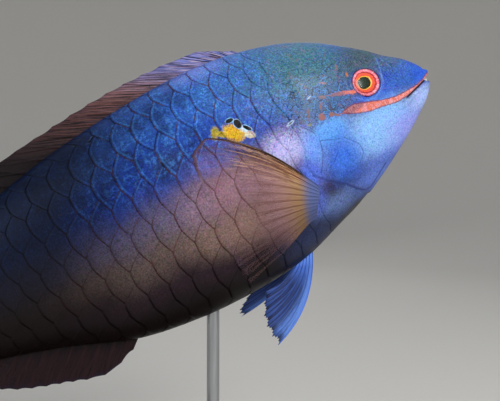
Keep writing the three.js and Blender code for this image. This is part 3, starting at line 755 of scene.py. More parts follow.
def tail_place(u, v):
    """Nearly square-cut, its lobes a little longer than its middle"""
    share = 2 * u - 1
    middle, reach, _ = section(float(BODY_LENGTH))
    long = TAIL_FIN_LENGTH - 3.6 * (1 - np.abs(share) ** 1.6) - 0.5 * scallops(u * (TAIL_RAYS - 1))
    flare = mix(reach - 0.4, TAIL_FIN_REACH, power(v, TAIL_FLARE))
    return np.stack([BODY_LENGTH + 0.25 + long * v, 0.5 * np.sin(u * 9) * power(v, 2), middle + share * flare], -1)


def tail_core(u, v):
    """Thickness of the tail fin, which grows out of the end of the body"""
    root = np.maximum(2 * half_width(BODY_LENGTH) * rounded(2 * u - 1) - 0.5, 0.6)
    return mix(root, 0.32, smooth(v, 0, 0.33))


def side_place(side, u, v):
    """A fan of rays that bow upwards from a short slanting root behind the gill cover"""
    back, up = mix(60.8, 65.4, u), mix(-12.4, -22.3, u)
    angle, lift = np.radians(mix(50, -16, u)), math.radians(10) * (1 - 0.4 * v)
    long = np.minimum(30.5 / np.cos(angle), 41) - 4.5 * power(1 - u, 7) - 3.5 * power(u, 4)
    away = (long - 0.3 * scallops(u * (SIDE_RAYS - 1))) * v
    droop = (1.3 * power(v, 3) + 1.2 * power(v, 12)) * power(1 - u, 2)
    bow = 2 * np.sin(math.pi * v) * mix(1, -0.4, u) - droop
    wave = 0.35 * np.sin(u * 10) * power(v, 1.5)
    return np.stack([
        back + away * np.cos(angle) * np.cos(lift) - bow * np.sin(angle),
        side * (skin_out(back, up) + away * np.sin(lift) + wave),
        up + away * np.sin(angle) * np.cos(lift) + bow * np.cos(angle),
    ], -1)


def curve(start, turn, end, t):
    """Places on a bent line from start to end that leaves towards turn"""
    t = t[..., None]
    return (1 - t) ** 2 * np.array(start) + 2 * t * (1 - t) * np.array(turn) + t**2 * np.array(end)


def belly_place(side, fold, u, v):
    """A spine and five rays, spread in a fan that curves back; fold lays the fin closer to the belly"""
    ray = u * (BELLY_RAYS - 1)
    t = v * (1 - (0.03 * scallops(ray) + 0.018 * scallops(ray * 4)) * power(v, 3))
    leading = curve((67, 4.2, -34), (mix(74.7, 77.5, fold), 5.5, mix(-50.2, -43.5, fold)),
                    (mix(91.5, 95.5, fold), 8.2, mix(-53.5, -44.5, fold)), t)
    trailing = curve((72.5, 3.2, -35), (mix(79, 80, fold), 4.4, mix(-38.6, -38.4, fold)),
                     (mix(87.2, 89, fold), 6, mix(-37, -38.2, fold)), t)
    places = mix(leading, trailing, u[..., None])
    places[..., 0] += BELLY_FIN_BULGE * np.sin(math.pi * u) * t**2
    places[..., 1] += 0.3 * np.sin(u * 9) * power(v, 2)
    return places * [1, side, 1]


# Eyes, beak and stand

def quarter_turn(count):
    return np.linspace(0, math.pi / 2, count)


def build_eye(name, side, looks, ball, clear):
    """An eyeball with a raised ring round its pupil, under a clear dome"""
    centre, outward, forward, upward = eye_axes(side)
    radius, pupil, bulge = looks.radius / MM, looks.pupil / MM, looks.bulge / MM
    profile = [(0, 0.62), (0.6, 0.61), (1.2, 0.57), (1.8, 0.5), (pupil - 0.12, 0.4), (pupil, 0.38),
               (pupil + 0.1, 0.54), (pupil + 0.35, 0.58), (3.4, 0.52), (3.9, 0.42), (4.3, 0.32), (4.8, 0.16),
               (radius - 0.2, -0.06), (radius, -0.5), (radius - 0.4, -1.6), (3.0, -2.6), (0, -3.0)]
    dome = [(0, bulge)] + [(radius * math.sin(a), bulge * math.cos(a)) for a in quarter_turn(25)[1:]]
    for part, shape, material, nodes in (
            ("_ball", profile, ball, [name]), ("_cornea", dome + [(radius, -0.6)], clear, [])):
        points, faces = lathe(shape, 96)
        local = points * [1, EYE_FLATNESS, 1] + [0, 0, EYE_SUNK]
        local[:, 0] -= PUPIL_SET_BACK * power(1 - (np.hypot(points[:, 0], points[:, 1]) / radius) ** 2, 1)
        places = centre + local @ np.array([forward, upward, outward])
        seat(new_piece(name + part, in_frame(places), faces, material, {"eye": points}), "eye", *nodes)


def snout_round(share, offset, end):
    """Places along an edge of the jaws, from one side (-1) round the front (0) to the other (1)"""
    table = np.linspace(0, 8, 801)
    line = top_line if offset > 0 else low_line
    front = np.interp(abs(offset), np.abs(line(table) - mouth_line(0)), table)
    back = front + (end - front) * share**2
    up = mouth_line(back) + offset
    return np.stack([back, np.sign(share) * skin_out(back, up), up], -1)


def build_beak(name, side, height, end, material):
    """A jaw's fused teeth: a bent plate with a finely notched cutting edge"""
    share = np.linspace(-1, 1, 161)
    teeth = 0.1 * np.abs(np.sin(share * 20))
    edges = []
    for offset, sunk in ((0, 1.9), (0.06, 1.65), (0.3, 1.4), (0.7, 1.1), (height, 0.9), (height, 2.1), (0.5, 2.3)):
        place = snout_round(share, side * (0.05 + offset), end)
        place = place - facing(place) * sunk
        if offset < 0.2:
            place[:, 2] += side * teeth
        edges.append(place)
    ring, last = np.arange(len(edges)), (len(share) - 1) * len(edges)
    places = np.stack(edges, 1).reshape(-1, 3)
    faces = [grid_faces(len(share), len(edges), closed=True), ring[None, ::-1], ring[None] + last]
    seat(new_piece(name + "_teeth", in_frame(places), faces, material, {"tooth": places}), "beak", name)


# Groove inlaid in the board: its inset from the rounded edge and its height, in metres
GROOVE = [(0.0005, 0), (0.004, 0), (0.0046, -0.0004), (0.0052, 0), (0.006, 0)]


def build_board(looks, material):
    """A board with rounded corners and edges and a groove inlaid round its top"""
    low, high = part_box("stand_base")
    half = np.array([(high.x - low.x) / 2, (high.y - low.y) / 2])
    turns = np.linspace(0, 2 * math.pi, 4 * 24, endpoint=False)
    round_ = np.stack([np.cos(turns), np.sin(turns)], -1)
    corner = np.sign(np.stack([np.cos(turns + 1e-6), np.sin(turns + 1e-6)], -1))
    edge = looks.edge
    profile = [(edge + 0.002, low.z), (edge, low.z), (0.4 * edge, low.z + 0.1 * edge), (0, low.z + 0.5 * edge)]
    profile += [(edge * (1 - math.cos(a)), high.z - edge * (1 - math.sin(a))) for a in quarter_turn(9)]
    profile += [(edge + inset, high.z + rise) for inset, rise in GROOVE]
    rings = []
    for inset, height in profile:
        place = corner * (half - looks.corner) + round_ * (looks.corner - inset)
        rings.append(np.concatenate([place, np.full((len(turns), 1), height)], 1))
    points = np.concatenate([*rings, [[0, 0, low.z], [0, 0, high.z]]])
    board = new_piece("stand_board", points, tube_faces(len(rings), len(turns)), material)
    seat(board, "stand_board", "stand_base")


def build_rod(name, back, looks, material):
    """A rod with a collar at its foot, which ends inside the belly"""
    low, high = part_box(name)
    x, y = (low.x + high.x) / 2, (low.y + high.y) / 2
    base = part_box("stand_base")[1].z
    radius, collar = looks.rod_radius, looks.collar
    foot = in_frame((back, 0, low_line(back)))[2] + 2 * MM
    profile = [(0, base), (collar, base), (collar, base + 0.0012), (collar - 0.0005, base + 0.0018),
               (radius + 0.0008, base + 0.0021), (radius, base + 0.003)]
    profile += [(radius, height) for height in np.linspace(base + 0.0035, foot, 40)] + [(0, foot)]
    points, faces = lathe(profile, 64)
    rod = new_piece(name + "_steel", points + [x, y, 0], faces, material)
    seat(rod, "stand_metal", name)


# Materials

class Signal:
    """The output of a node, which can be reckoned with like a number"""

    def __init__(self, wires, socket):
        self.wires, self.socket = wires, socket

    def __add__(self, other):
        return self.wires.calc("ADD", self, other)

    def __sub__(self, other):
        return self.wires.calc("SUBTRACT", self, other)

    def __rsub__(self, other):
        return self.wires.calc("SUBTRACT", other, self)

    def __mul__(self, other):
        return self.wires.calc("MULTIPLY", self, other)

    def __abs__(self):
        return self.wires.calc("ABSOLUTE", self)


class Wires:
    """Short ways to add and link the nodes of one node tree"""

    def __init__(self, tree):
        self.tree = tree

    def feed(self, socket, value):
        if isinstance(value, Signal):
            self.tree.links.new(value.socket, socket)
        elif socket.type == "RGBA":
            socket.default_value = (*value, 1)
        else:
            socket.default_value = value

    def add(self, kind, output, inputs, **settings):
        """Add a node with these inputs and settings, and return one of its outputs"""
        node = self.tree.nodes.new("ShaderNode" + kind)
        for name, value in settings.items():
            setattr(node, name, value)
        for key, value in inputs.items():
            self.feed(node.inputs[key], value)
        return Signal(self, node.outputs[output])

    def calc(self, operation, *values):
        return self.add("Math", 0, dict(enumerate(values)), operation=operation)

    def most(self, first, *others):
        for other in others:
            first = self.calc("MAXIMUM", first, other)
        return first

    def vector(self, operation, *values):
        output = "Value" if operation == "LENGTH" else "Vector"
        return self.add("VectorMath", output, dict(enumerate(values)), operation=operation)

    def stretch(self, vector, *factors):
        return self.vector("MULTIPLY", vector, factors)

    def blend(self, share, first, second, mode="MIX"):
        return self.add("Mix", 2, {0: share, 6: first, 7: second}, data_type="RGBA", blend_type=mode)

    def step(self, value, low, high):
        return self.add("MapRange", 0, {0: value, 1: low, 2: high}, interpolation_type="SMOOTHSTEP")

    def near(self, value, width, soft):
        """1 where a distance is under a width, falling to 0 over a soft edge"""
        return self.step(abs(value), width + soft, width)

    def noise(self, where, size, detail=2.0, rough=0.5, output="Fac"):
        """Noise with features about this size; the place is in millimetres"""
        inputs = {"Vector": where, "Scale": 1 / size, "Detail": detail, "Roughness": rough}
        return self.add("TexNoise", output, inputs)

    def split(self, vector):
        node = self.add("SeparateXYZ", 0, {0: vector}).socket.node
        return [Signal(self, socket) for socket in node.outputs]

    def read(self, label):
        return self.add("Attribute", "Vector", {}, attribute_name=label)

    def object_place(self):
        return self.add("TexCoord", "Object", {})


class Layers:
    """A colour that is painted over, layer by layer; a paint is a group's input, six digits or a colour"""

    def __init__(self, wires, given, paint):
        self.wires, self.given = wires, given
        self.paint = self.find(paint)

    def find(self, paint):
        if isinstance(paint, str):
            return self.given[paint] if paint in self.given else colour(paint)
        return paint

    def over(self, share, paint, mode="MIX"):
        self.paint = self.wires.blend(share, self.paint, self.find(paint), mode)


def spot(wires, place, back, up, long, tall, turn=0):
    """Distance from the middle of an oval spot, 1 at its edge; turn is the tilt of its long axis in degrees"""
    if turn:
        inputs = {"Vector": place, "Center": (back, up, 0), "Angle": -math.radians(turn)}
        place = wires.add("VectorRotate", 0, inputs, rotation_type="Z_AXIS")
    local = wires.vector("MULTIPLY_ADD", place, (1 / long, 1 / tall, 0), (-back / long, -up / tall, 0))
    return wires.vector("LENGTH", local)


# Bands of colour along the body, from the belly up: where each begins and is full, as shares of the half height.
# The body darkens towards the belly, partly in the fish's own colour and partly as painted shade
BANDS = [(-0.85, -0.55, "Plum"), (-0.6, -0.2, "Low flank"), (-0.3, 0.06, "Flank"), (0.02, 0.36, "Deep blue"),
         (0.4, 0.7, "Back")]
# Painted shade towards the tail: where it begins and where it is full, behind the snout
TAIL_SHADE_START, TAIL_SHADE_FULL = 90, 144

# Areas of colour on the straight fish: colour, back, up, radius along, radius up, softness
AREAS = {
    "shoulder": ("3560A7", 66, 27, 20, 14, 0.9),
    "nape": ("3D6F84", 46, 20, 22, 17, 0.8),
    "brow": ("3F5664", 24, 15, 16, 8, 0.8),
    "snout": ("3560B4", 12, 3, 15, 7, 0.8),
    "snout tip": ("2C5CCE", 4, 1, 8, 5, 0.8),
    "bridge": ("44628E", 14, 10, 9, 4, 0.9),
    "under the eye": ("345FC8", 28, 1.5, 13, 5, 0.7),
    "temple": ("2A5C90", 46, 7.5, 11, 6, 0.7),
    "jaw": ("6A80DC", 29, -15, 16, 7, 0.9),
    "cheek": ("8CBEFA", 30, -7.5, 22, 9, 0.6),
    "cheek edge": ("60A2F4", 48.5, -1.2, 9, 5.6, 0.6),
    "chin": ("969FF6", 17, -12, 15, 7, 0.9),
    "lower lip": ("A8BEFC", 7.5, -5.8, 9, 4.8, 0.7),
    "throat": ("5874CC", 36, -21, 16, 6, 0.9),
    "gill cover": ("3C70DE", 48, -10, 10, 9, 0.9),
    "cover flap": ("6E9CF6", 57, -3, 5, 8, 0.8),
    "chest": ("5C72A6", 56, -23, 12, 5, 0.9),
    "low chest": ("242C4C", 66, -28, 15, 7, 0.9),
    # A painted sheen of pale blue along the root of the dorsal fin
    "dorsal root": ("6478CC", 76, 34, 12, 4.5, 0.9),
    "rosy flank": ("94707F", 84, -3, 19, 10, 0.9),
    "tawny flank": ("84685E", 84, -14, 20, 8, 0.9),
    # A patch of painted shade on the upper flank
    "dim blue": ("22366E", 97, 12, 8, 6, 0.9),
    "blue veil": ("5A5EB4", 86, 7.5, 10, 4.5, 0.9),
    # Lavender behind the gill cover: partly its own colour, partly a painted highlight where it catches more light
    "lit lavender": ("BAB6F4", 65, 0.5, 8, 6.5, 0.8),
    # Blue at the root of the side fin: partly its own colour, partly the painted shadow of the gill cover's edge
    "fin root": ("5470DC", 60.5, -10, 5.5, 6, 0.8),
    "fin axil": ("5264B8", 61.5, -18, 4.5, 6, 0.8),
}

# Spots and dashes on the head: back, up, half length, half width, tilt, colour. The two pale blue dashes, at 49.9
# and 59.4 behind the snout, are painted glints
DOTS = [
    (33.9, 12.2, 0.85, 0.4, -63, "C87030"), (49.1, 4.1, 1.25, 1.15, 0, "9A5E58"),
    (45.6, 3.4, 0.9, 0.75, 0, "9A6254"), (43.9, 2.5, 1.4, 0.35, 30, "8E6660"),
    (45.8, 9.3, 1.2, 0.5, 27, "8A666C"), (43.3, 13.2, 1.3, 0.4, 27, "9C7C8C"),
    (47.9, 7.0, 0.9, 0.45, -63, "865C5E"), (52.7, 7.0, 1.4, 0.55, -63, "74565E"),
    (49.9, 11.1, 0.8, 0.22, -20, "A8C4DC"), (35.9, 15.8, 1.1, 0.4, -63, "846A70"),
    (59.4, 6.7, 1.45, 0.5, -12, "B0CCF0"), (59.4, 6.7, 1.0, 0.2, -12, "5E5444"),
    (53.9, 3.6, 0.6, 0.4, 0, "8A9060"), (50.4, -9.0, 2.4, 0.14, -40, "2440B0"),
    (45.7, -9.7, 1.5, 0.12, 68, "2440B0"),
]
# Blotch: back, up, half length, half width, tilt, softness, colour
BLOTCH = [
    (72.4, 9.2, 1.7, 1.0, 35, 1.3, "D8CDB4"), (73.6, 11.6, 1.7, 0.8, 45, 1.0, "D4E4F8"),
    (81.4, 13.9, 1.7, 1.15, -63, 2.0, "A8922C"), (79.8, 12.8, 1.5, 0.9, 45, 2.0, "B8A030"),
    (76.5, 11.6, 3.1, 2.1, 52, 1.4, "E4B010"),
    (75.75, 15.35, 1.38, 0.78, 10, 0.6, "8CC8F4"), (74.15, 13.5, 1.62, 1.14, 82, 0.6, "9CD0F8"),
    (72.1, 11.25, 1.55, 0.66, 48, 0.6, "9CD0F8"),
    (75.85, 15.35, 1.2, 0.6, 0, 0.5, "020203"), (74.1, 13.5, 1.45, 0.98, 82, 0.5, "020203"),
    (72.1, 11.2, 1.35, 0.5, 48, 0.5, "020203"),
]
WRINKLES = (8.1, 9.5, 11.2)
SPECKLES = ((0.5, 0.5), (1.4, 0.22))


def paint_areas(wires, given, place, shade, wobble):
    """The broad colours: bands along the body, then painted shade that darkens them towards the tail, then the
    areas of the head
    """
    skin = Layers(wires, given, "Belly")
    for start, full, name in BANDS:
        skin.over(wires.step(shade, start, full), name)
    # Painted shade that darkens the body towards the tail, sooner higher up, into the belly's colour low down
    behind = shade * 22 + (wobble * 12 + wires.split(place)[0])
    dusk = wires.step(behind, TAIL_SHADE_START, TAIL_SHADE_FULL) * 0.97
    skin.over(dusk, wires.blend(wires.step(shade, -0.5, 0.2), given["Belly"], given["Dusk"]))
    for text, *oval, soft in AREAS.values():
        away = spot(wires, place, *oval) + wobble
        skin.over(wires.step(away, 1 + soft / 3, 1 - soft), text)
    return skin, dusk


def fish_markings(wires, given):
    """Colour, roughness and fine height of the skin from the places and lines that the meshes carry"""
    step, near, noise, most = wires.step, wires.near, wires.noise, wires.most
    place, solid = given["Place"], given["Solid"]
    back, up, share = wires.split(place)
    band, bar, arc = wires.split(given["Bands"])
    gill, cheek, flap = wires.split(given["Edges"])
    eye, mouth, throat = wires.split(given["Holes"])
    tip, _, across = wires.split(given["Scale"])
    grain = noise(solid, 0.5, 3, 0.7)
    mottle = noise(place, 3.2, 3, 0.6)
    shade = share + (noise(place, 14) * 0.3 - 0.15)
    ragged = noise(place, 1.2, 4, 0.75) * 2.2 - 1.1
    skin, dusk = paint_areas(wires, given, place, shade, mottle * 0.36 - 0.18)
    # How much of the skin the painted shade towards the tail leaves alone
    light = 1 - dusk

    # Scales: faint streaks, paler middles, dark thin edges that fade over the nape and the chest
    streaks = noise(wires.stretch(given["Scale"], 0.35, 0, 9), 1, 3, 0.6)
    skin.over(step(streaks, 0.45, 0.7) * step(tip, 8.9, 8) * 0.3, "Scale middle", "SOFT_LIGHT")
    middle = step(tip, 0.6, 3) * step(tip, 8.5, 4.5) * step(abs(across), 0.7, 0.2)
    skin.over(middle * 0.5, "Scale middle", "SOFT_LIGHT")
    shoulder = step(share, 0.1, 0.4) * step(back, 52, 62) * light
    flecks = step(noise(solid, 1.1, 3, 0.7), 0.46, 0.62) * step(mottle, 0.36, 0.6)
    skin.over(flecks * shoulder * 0.55, "Sky")
    # Dark blots on the flank, in the blue of the painted shade towards the tail
    blots = step(noise(place, 6, 3, 0.65), 0.46, 0.64) * step(back, 72, 90) * step(share, 0, 0.3)
    skin.over(blots * 0.5, "Dusk")
    flank = most(step(back, 58, 74), 0.12) * most(step(up, 4, 9), step(back, 70, 77))
    flank = flank * most(step(up, -24, -14), step(back, 84, 96))
    edge = tip + (grain * 0.5 - 0.25)
    line = step(edge, 0.5, 0.18) * flank * step(noise(place, 5, 3, 0.6), 0.3, 0.55)
    skin.over(line, "Margin", "MULTIPLY")
    rusty = step(mottle, 0.38, 0.55) * 0.6 * step(up, -22, -10)
    skin.over(line * light * rusty, "Rust")
    skin.over(near(edge - 1, 0.1, 0.3) * flank * shoulder * 0.3, "Sky")

    # Blotch with three black spots
    for *oval, soft, text in BLOTCH:
        away = spot(wires, place, *oval) + ragged * (0.45 * soft)
        skin.over(step(away, 1 + 0.25 * soft, 1 - 0.15 * soft), text)

    # Fine grain and speckles of many colours
    freckled = step(up, 0, 6) * step(back, 95, 60)
    for size, depth in SPECKLES:
        specks = wires.vector("MULTIPLY_ADD", noise(solid, size, 2, 0.6, "Color"), (3, 3, 3), (-1, -1, -1))
        specks = wires.blend(0.35, specks, grain * 3 - 1)
        skin.over(freckled * (0.6 * depth) + 0.5 * depth, specks, "OVERLAY")
    skin.over(step(grain, 0.5, 0.66) * 0.6, "Bright grain", "SOFT_LIGHT")
    skin.over(step(grain, 0.5, 0.28) * 0.5, "Dark grain", "MULTIPLY")
    on_nape = step(up, 3, 10) * step(back, 84, 58)
    speck = noise(solid, 1.3, 3, 0.75)
    skin.over(step(speck, 0.54, 0.68) * on_nape * 0.4, "Pink speck")
    skin.over(step(speck, 0.45, 0.3) * on_nape * 0.45, "Green speck")

    # Short worm-like lines behind the eye, and creases drawn as painted shade with a painted highlight beside each
    worm = step(abs(noise(place, 2.8, 1, 0.4) - 0.5), 0.035, 0.015) * step(back, 30, 38) * step(back, 64, 52)
    skin.over(worm * step(up, 2, 5) * step(mottle, 0.5, 0.58) * 0.45, "Worm")
    crease = noise(solid, 1.9, 1) - 0.5
    behind_eye = step(back, 33, 40) * step(back, 66, 56) * step(up, 1, 4) * step(up, 26, 12)
    # Painted shade along each crease, then a painted highlight just beside it
    skin.over(near(crease, 0.014, 0.022) * behind_eye * 0.75, "Dark ring")
    skin.over(near(crease - 0.06, 0.012, 0.02) * behind_eye * 0.55, "Sky")

    # Salmon band, bar and dots
    width = step(back, 4, 24) * 0.48 + 0.4 + step(back, 25, 33) * 0.55 - step(back, 36, 43) * 1.2
    within = abs(band) - (width + ragged * 0.45)
    faded = step(ragged * 2.5 + (band * 2.2 + back), 33, 36.5)
    salmon = Layers(wires, given, "Band")
    salmon.over(step(speck, 0.42, 0.6), "Band pink")
    salmon.over(faded * 0.75, "Worm")
    salmon.over(step(grain, 0.5, 0.36) * (faded * 0.35 + 0.5), "Band edge")
    salmon.over(step(grain, 0.54, 0.68) * 0.5, "Band pink")
    skin.over(step(within, 0.45, 0.1) * 0.8, "Band edge")
    skin.over(step(within, 0.08, -0.2), salmon.paint)
    bar_paint = wires.blend(step(back, 41, 36), given["Worm"], given["Band"])
    skin.over(step(abs(bar) - (ragged * 0.6 + 0.42), 0.4, 0) * step(grain, 0.3, 0.52), bar_paint)
    for *oval, text in DOTS:
        away = spot(wires, place, *oval) + ragged * 0.5
        skin.over(step(away, 1.25, 0.7) * step(grain, 0.28, 0.5), text)
    skin.over(near(arc, 0.05, 0.45) * 0.4, "Arc")

    # Wrinkles over the eye, darkened as painted shade in their folds, and the dark ring in its socket
    for radius in WRINKLES:
        fold = near(eye + ragged - radius, 0.05, 0.4) * step(up, 8, 11)
        skin.over(fold * step(mottle, 0.42, 0.56) * 0.3, "Dark ring")
    skin.over(step(eye, 6.2, 5.5) * 0.9, "Dark ring")

    # Painted shade in the seams and grooves of the head, a painted shadow along the lower edge of the gill cover,
    # and the slit of the mouth darkened as painted shade
    fine = most(near(cheek, 0.02, 0.3) * 0.5, near(flap, 0.03, 0.32) * 0.6) * step(mottle, 0.36, 0.52)
    gill_edge_shadow = step(up, -6, -12) * step(back, 40, 46) * near(gill, 0.05, 0.5) * 0.4
    skin.over(most(fine, gill_edge_shadow, near(throat, 0.1, 0.35) * 0.8), "Seam")
    # The slit of the mouth, darkened as painted shade between the lips
    skin.over(near(mouth, 0.15, 0.3) * step(back, 16.5, 14), "Mouth")
    return {"Base Color": skin.paint, "Roughness": grain * 0.3 + 0.3, "Height": grain * 0.6 + mottle * 0.4}


def fin_finish(wires, given):
    """Membrane and rays of a fin, from its ray number, its way out to the edge and the ridges"""
    step, blend = wires.step, wires.blend
    ray, along, ridge = wires.split(given["Fin"])
    grain = wires.noise(wires.stretch(given["Fin"], 6, 9, 0), 0.9, 4, 0.65)
    streak = wires.noise(wires.stretch(given["Fin"], 9, 1.4, 0), 1, 4, 0.7)
    fine = wires.noise(wires.stretch(given["Fin"], 15, 1.1, 0), 1, 2, 0.6)
    fin = Layers(wires, given, "Membrane")
    fin.over(step(streak, 0.38, 0.62), "Streak")
    fin.over(step(along + streak * 0.3, 0.62, 0.2), "Base")
    fin.over(step(ray, given["Front rays"], given["Front rays"] * 0.4) * step(streak, 0.3, 0.55), "Front")
    fin.over(step(fine, 0.51, 0.58) * given["Lines"], blend(step(ray, 2.5, 6), given["Pale"], given["Ray"]))
    fin.over(step(fine, 0.48, 0.42) * given["Lines"], "Dark streak")
    fin.over(step(along, 0.88, 0.99) * given["Edge strength"], "Edge")
    joint = step(wires.calc("FRACT", along * JOINTS), 0.8, 0.98)
    fin.over(step(ridge, 0.1, 0.8) * given["Ray strength"], blend(joint * 0.2, given["Ray"], JOINT_PAINT))
    fin.over(step(streak, 0.44, 0.36) * 0.45, "Dark streak")
    fin.over(step(grain, 0.5, 0.3) * 0.4, "Dark streak")
    width = given["Leading width"] * (1.15 - along)
    leading = step(ray + grain * 0.12, width + 0.15, width)
    fin.over(leading, "Leading")
    flecks = step(fine, 0.5, 0.58) * step(grain, 0.4, 0.55) * step(ray, 3.6, 1.2) * step(along, 0.95, 0.6)
    flecks = flecks * given["Flecks"]
    fin.over(flecks, FLECK_PAINT)
    fin.over(step(along, 0.16, 0.02), "Root")
    # Painted shade that darkens each fin over its last rays
    fin.over(step(ray, 2, 12) * given["Dim"], FIN_SHADE_PAINT)
    curl = step(along, 0.965, 0.985) * step(ray, 3.4, 1.8) * given["Flecks"]
    fin.over(curl, "Leading")
    clear = blend(step(along, 0.05, 0.75), given["Clear root"], given["Clear edge"])
    clear = blend(step(ray, 7.5, 11) * step(along, 0.2, 0.55) * given["Clear edge"], clear, (1, 1, 1))
    solid = wires.most(ridge * given["Ray solid"], leading, curl, flecks * 0.8)
    return {"Base Color": fin.paint, "Alpha": 1 - clear * (1 - solid), "Roughness": grain * 0.2 + 0.34,
            "Height": grain + streak}


def wood_grain(wires, given):
    """Long grain along X, from a place in metres"""
    inputs = {"Vector": wires.stretch(given["Place"], 9, 120, 120), "Scale": 0.35, "Distortion": 7, "Detail": 4,
              "Detail Scale": 0.8}
    rings = wires.add("TexWave", "Fac", inputs, bands_direction="Y")
    pores = wires.noise(wires.stretch(given["Place"], 60, 1500, 1500), 1, 3, 0.6)
    return {"Base Color": wires.blend(rings * 0.6 + pores * 0.5, given["Light"], given["Dark"]), "Height": pores}


JOINTS = 30
JOINT_PAINT = (0.02, 0.01, 0.01)
FLECK_PAINT = (0.8, 0.5, 0.3)
# Near-black of the painted shade over the fins' last rays
FIN_SHADE_PAINT = (0.008, 0.005, 0.007)
SKIN_MARKS = ("Solid", "Place", "Bands", "Edges", "Holes", "Scale")
FIN_PAINTS = ("Membrane", "Streak", "Base", "Edge", "Ray", "Leading", "Dark streak", "Front", "Root", "Pale")
FIN_NUMBERS = ("Ray strength", "Leading width", "Clear root", "Clear edge", "Ray solid", "Edge strength",
               "Front rays", "Dim", "Flecks", "Lines")
# Finish of each fin, in the order of those colours and numbers
FIN_LOOKS = {
    "dorsal": ("2A1E2C", "9C6E74", "5A587C", "4E4668", "9C6A60", "6A5A86", "0A060A", "7080D0", "4A68B8", "BCB0D8",
               0.25, 0.0, 0.03, 0.06, 0.8, 0.2, 4.6, 1.0, 0.3, 0.95),
    # The anal fin's near-black: partly its own dark colour, partly painted shade low on the body
    "anal": ("160C12", "2A1418", "120C10", "20203A", "2E181C", "2A1C30", "0A0608", "160C12", "0E0A0C", "2A1418",
             0.6, 0.0, 0.03, 0.05, 0.8, 0.5, 0.0, 0.3, 0.0, 0.1),
    "tail": ("3A2028", "582E2C", "14121C", "383860", "4C2828", "1E1622", "120C12", "24222E", "0A0C14", "582E2C",
             0.6, 0.5, 0.03, 0.1, 0.8, 0.7, 0.0, 0.0, 0.0, 0.15),
    "side": ("B8868E", "C89CA2", "B08C50", "7478C0", "7E4A3C", "2E140E", "6E3C34", "8A5A30", "6472A8", "C8A090",
             0.5, 0.42, 0.06, 0.97, 0.12, 0.4, 2.2, 0.55, 0.7, 0.12),
    "pelvic": ("18244E", "2A4184", "5884EC", "0E1430", "4262B4", "5C82E0", "101838", "6C98F0", "6C98F4", "5478C8",
               0.6, 0.4, 0.03, 0.12, 0.9, 0.8, 1.8, 0.2, 0.0, 0.2),
}
# Shader node groups: the function that fills each, and its inputs and outputs by kind
GROUPS = {
    "Fish markings": (fish_markings, {"Vector": SKIN_MARKS, "Color": list(SKIN_PAINTS)},
                      {"Color": ["Base Color"], "Float": ["Roughness", "Height"]}),
    "Fin finish": (fin_finish, {"Vector": ["Fin"], "Color": FIN_PAINTS, "Float": FIN_NUMBERS},
                   {"Color": ["Base Color"], "Float": ["Alpha", "Roughness", "Height"]}),
    "Wood grain": (wood_grain, {"Vector": ["Place"], "Color": ["Light", "Dark"]},
                   {"Color": ["Base Color"], "Float": ["Height"]}),
}


def build_group(name):
    """A shader node group with named sockets, filled by its function"""
    fill, *sockets = GROUPS[name]
    tree = bpy.data.node_groups.new(name, "ShaderNodeTree")
    for side, kinds in zip(("INPUT", "OUTPUT"), sockets):
        for kind, labels in kinds.items():
            for label in labels:
                tree.interface.new_socket(label, in_out=side, socket_type="NodeSocket" + kind)
    wires = Wires(tree)
    given = {socket.name: Signal(wires, socket) for socket in tree.nodes.new("NodeGroupInput").outputs}
    end = tree.nodes.new("NodeGroupOutput")
    for label, value in fill(wires, given).items():
        wires.feed(end.inputs[label], value)


def use_group(wires, name, inputs):
    """Place a shared node group, which is built at its first use, and return its outputs"""
    if name not in bpy.data.node_groups:
        build_group(name)
    node = wires.tree.nodes.new("ShaderNodeGroup")
    node.node_tree = bpy.data.node_groups[name]
    for label, value in inputs.items():
        wires.feed(node.inputs[label], value)
    return {socket.name: Signal(wires, socket) for socket in node.outputs}


def new_material(name):
    """A material and the wires of its nodes"""
    material = bpy.data.materials.new(name)
    material.use_nodes = True
    return material, Wires(material.node_tree)


def finish(material, wires, bump, values):
    """Feed the Principled BSDF; Height becomes a bump that reaches so many millimetres"""
    shader = material.node_tree.nodes["Principled BSDF"]
    if "Height" in values:
        inputs = {"Height": values.pop("Height"), "Distance": bump * MM, "Strength": 1}
        values["Normal"] = wires.add("Bump", 0, inputs)
    for label, value in values.items():
        wires.feed(shader.inputs[label], value)
    return material


def flesh_material(name, looks, coat):
    """Skin or scales with the fish's markings; coat is how wet they look"""
    material, wires = new_material(name)
    inputs = {label: wires.read(label.lower()) for label in SKIN_MARKS}
    inputs.update({label: getattr(looks, word) for label, word in SKIN_PAINTS.items()})
    made = use_group(wires, "Fish markings", inputs)
    return finish(material, wires, 0.12, {
        **made, "Coat Weight": coat, "Coat Roughness": 0.25, "Specular IOR Level": 0.14})


def fin_material(name):
    material, wires = new_material("fin_" + name)
    values = FIN_LOOKS[name]
    inputs = {"Fin": wires.read("fin"), **dict(zip(FIN_PAINTS, map(colour, values)))}
    inputs.update(zip(FIN_NUMBERS, values[len(FIN_PAINTS):]))
    return finish(material, wires, 0.08, {**use_group(wires, "Fin finish", inputs), "Specular IOR Level": 0.15})


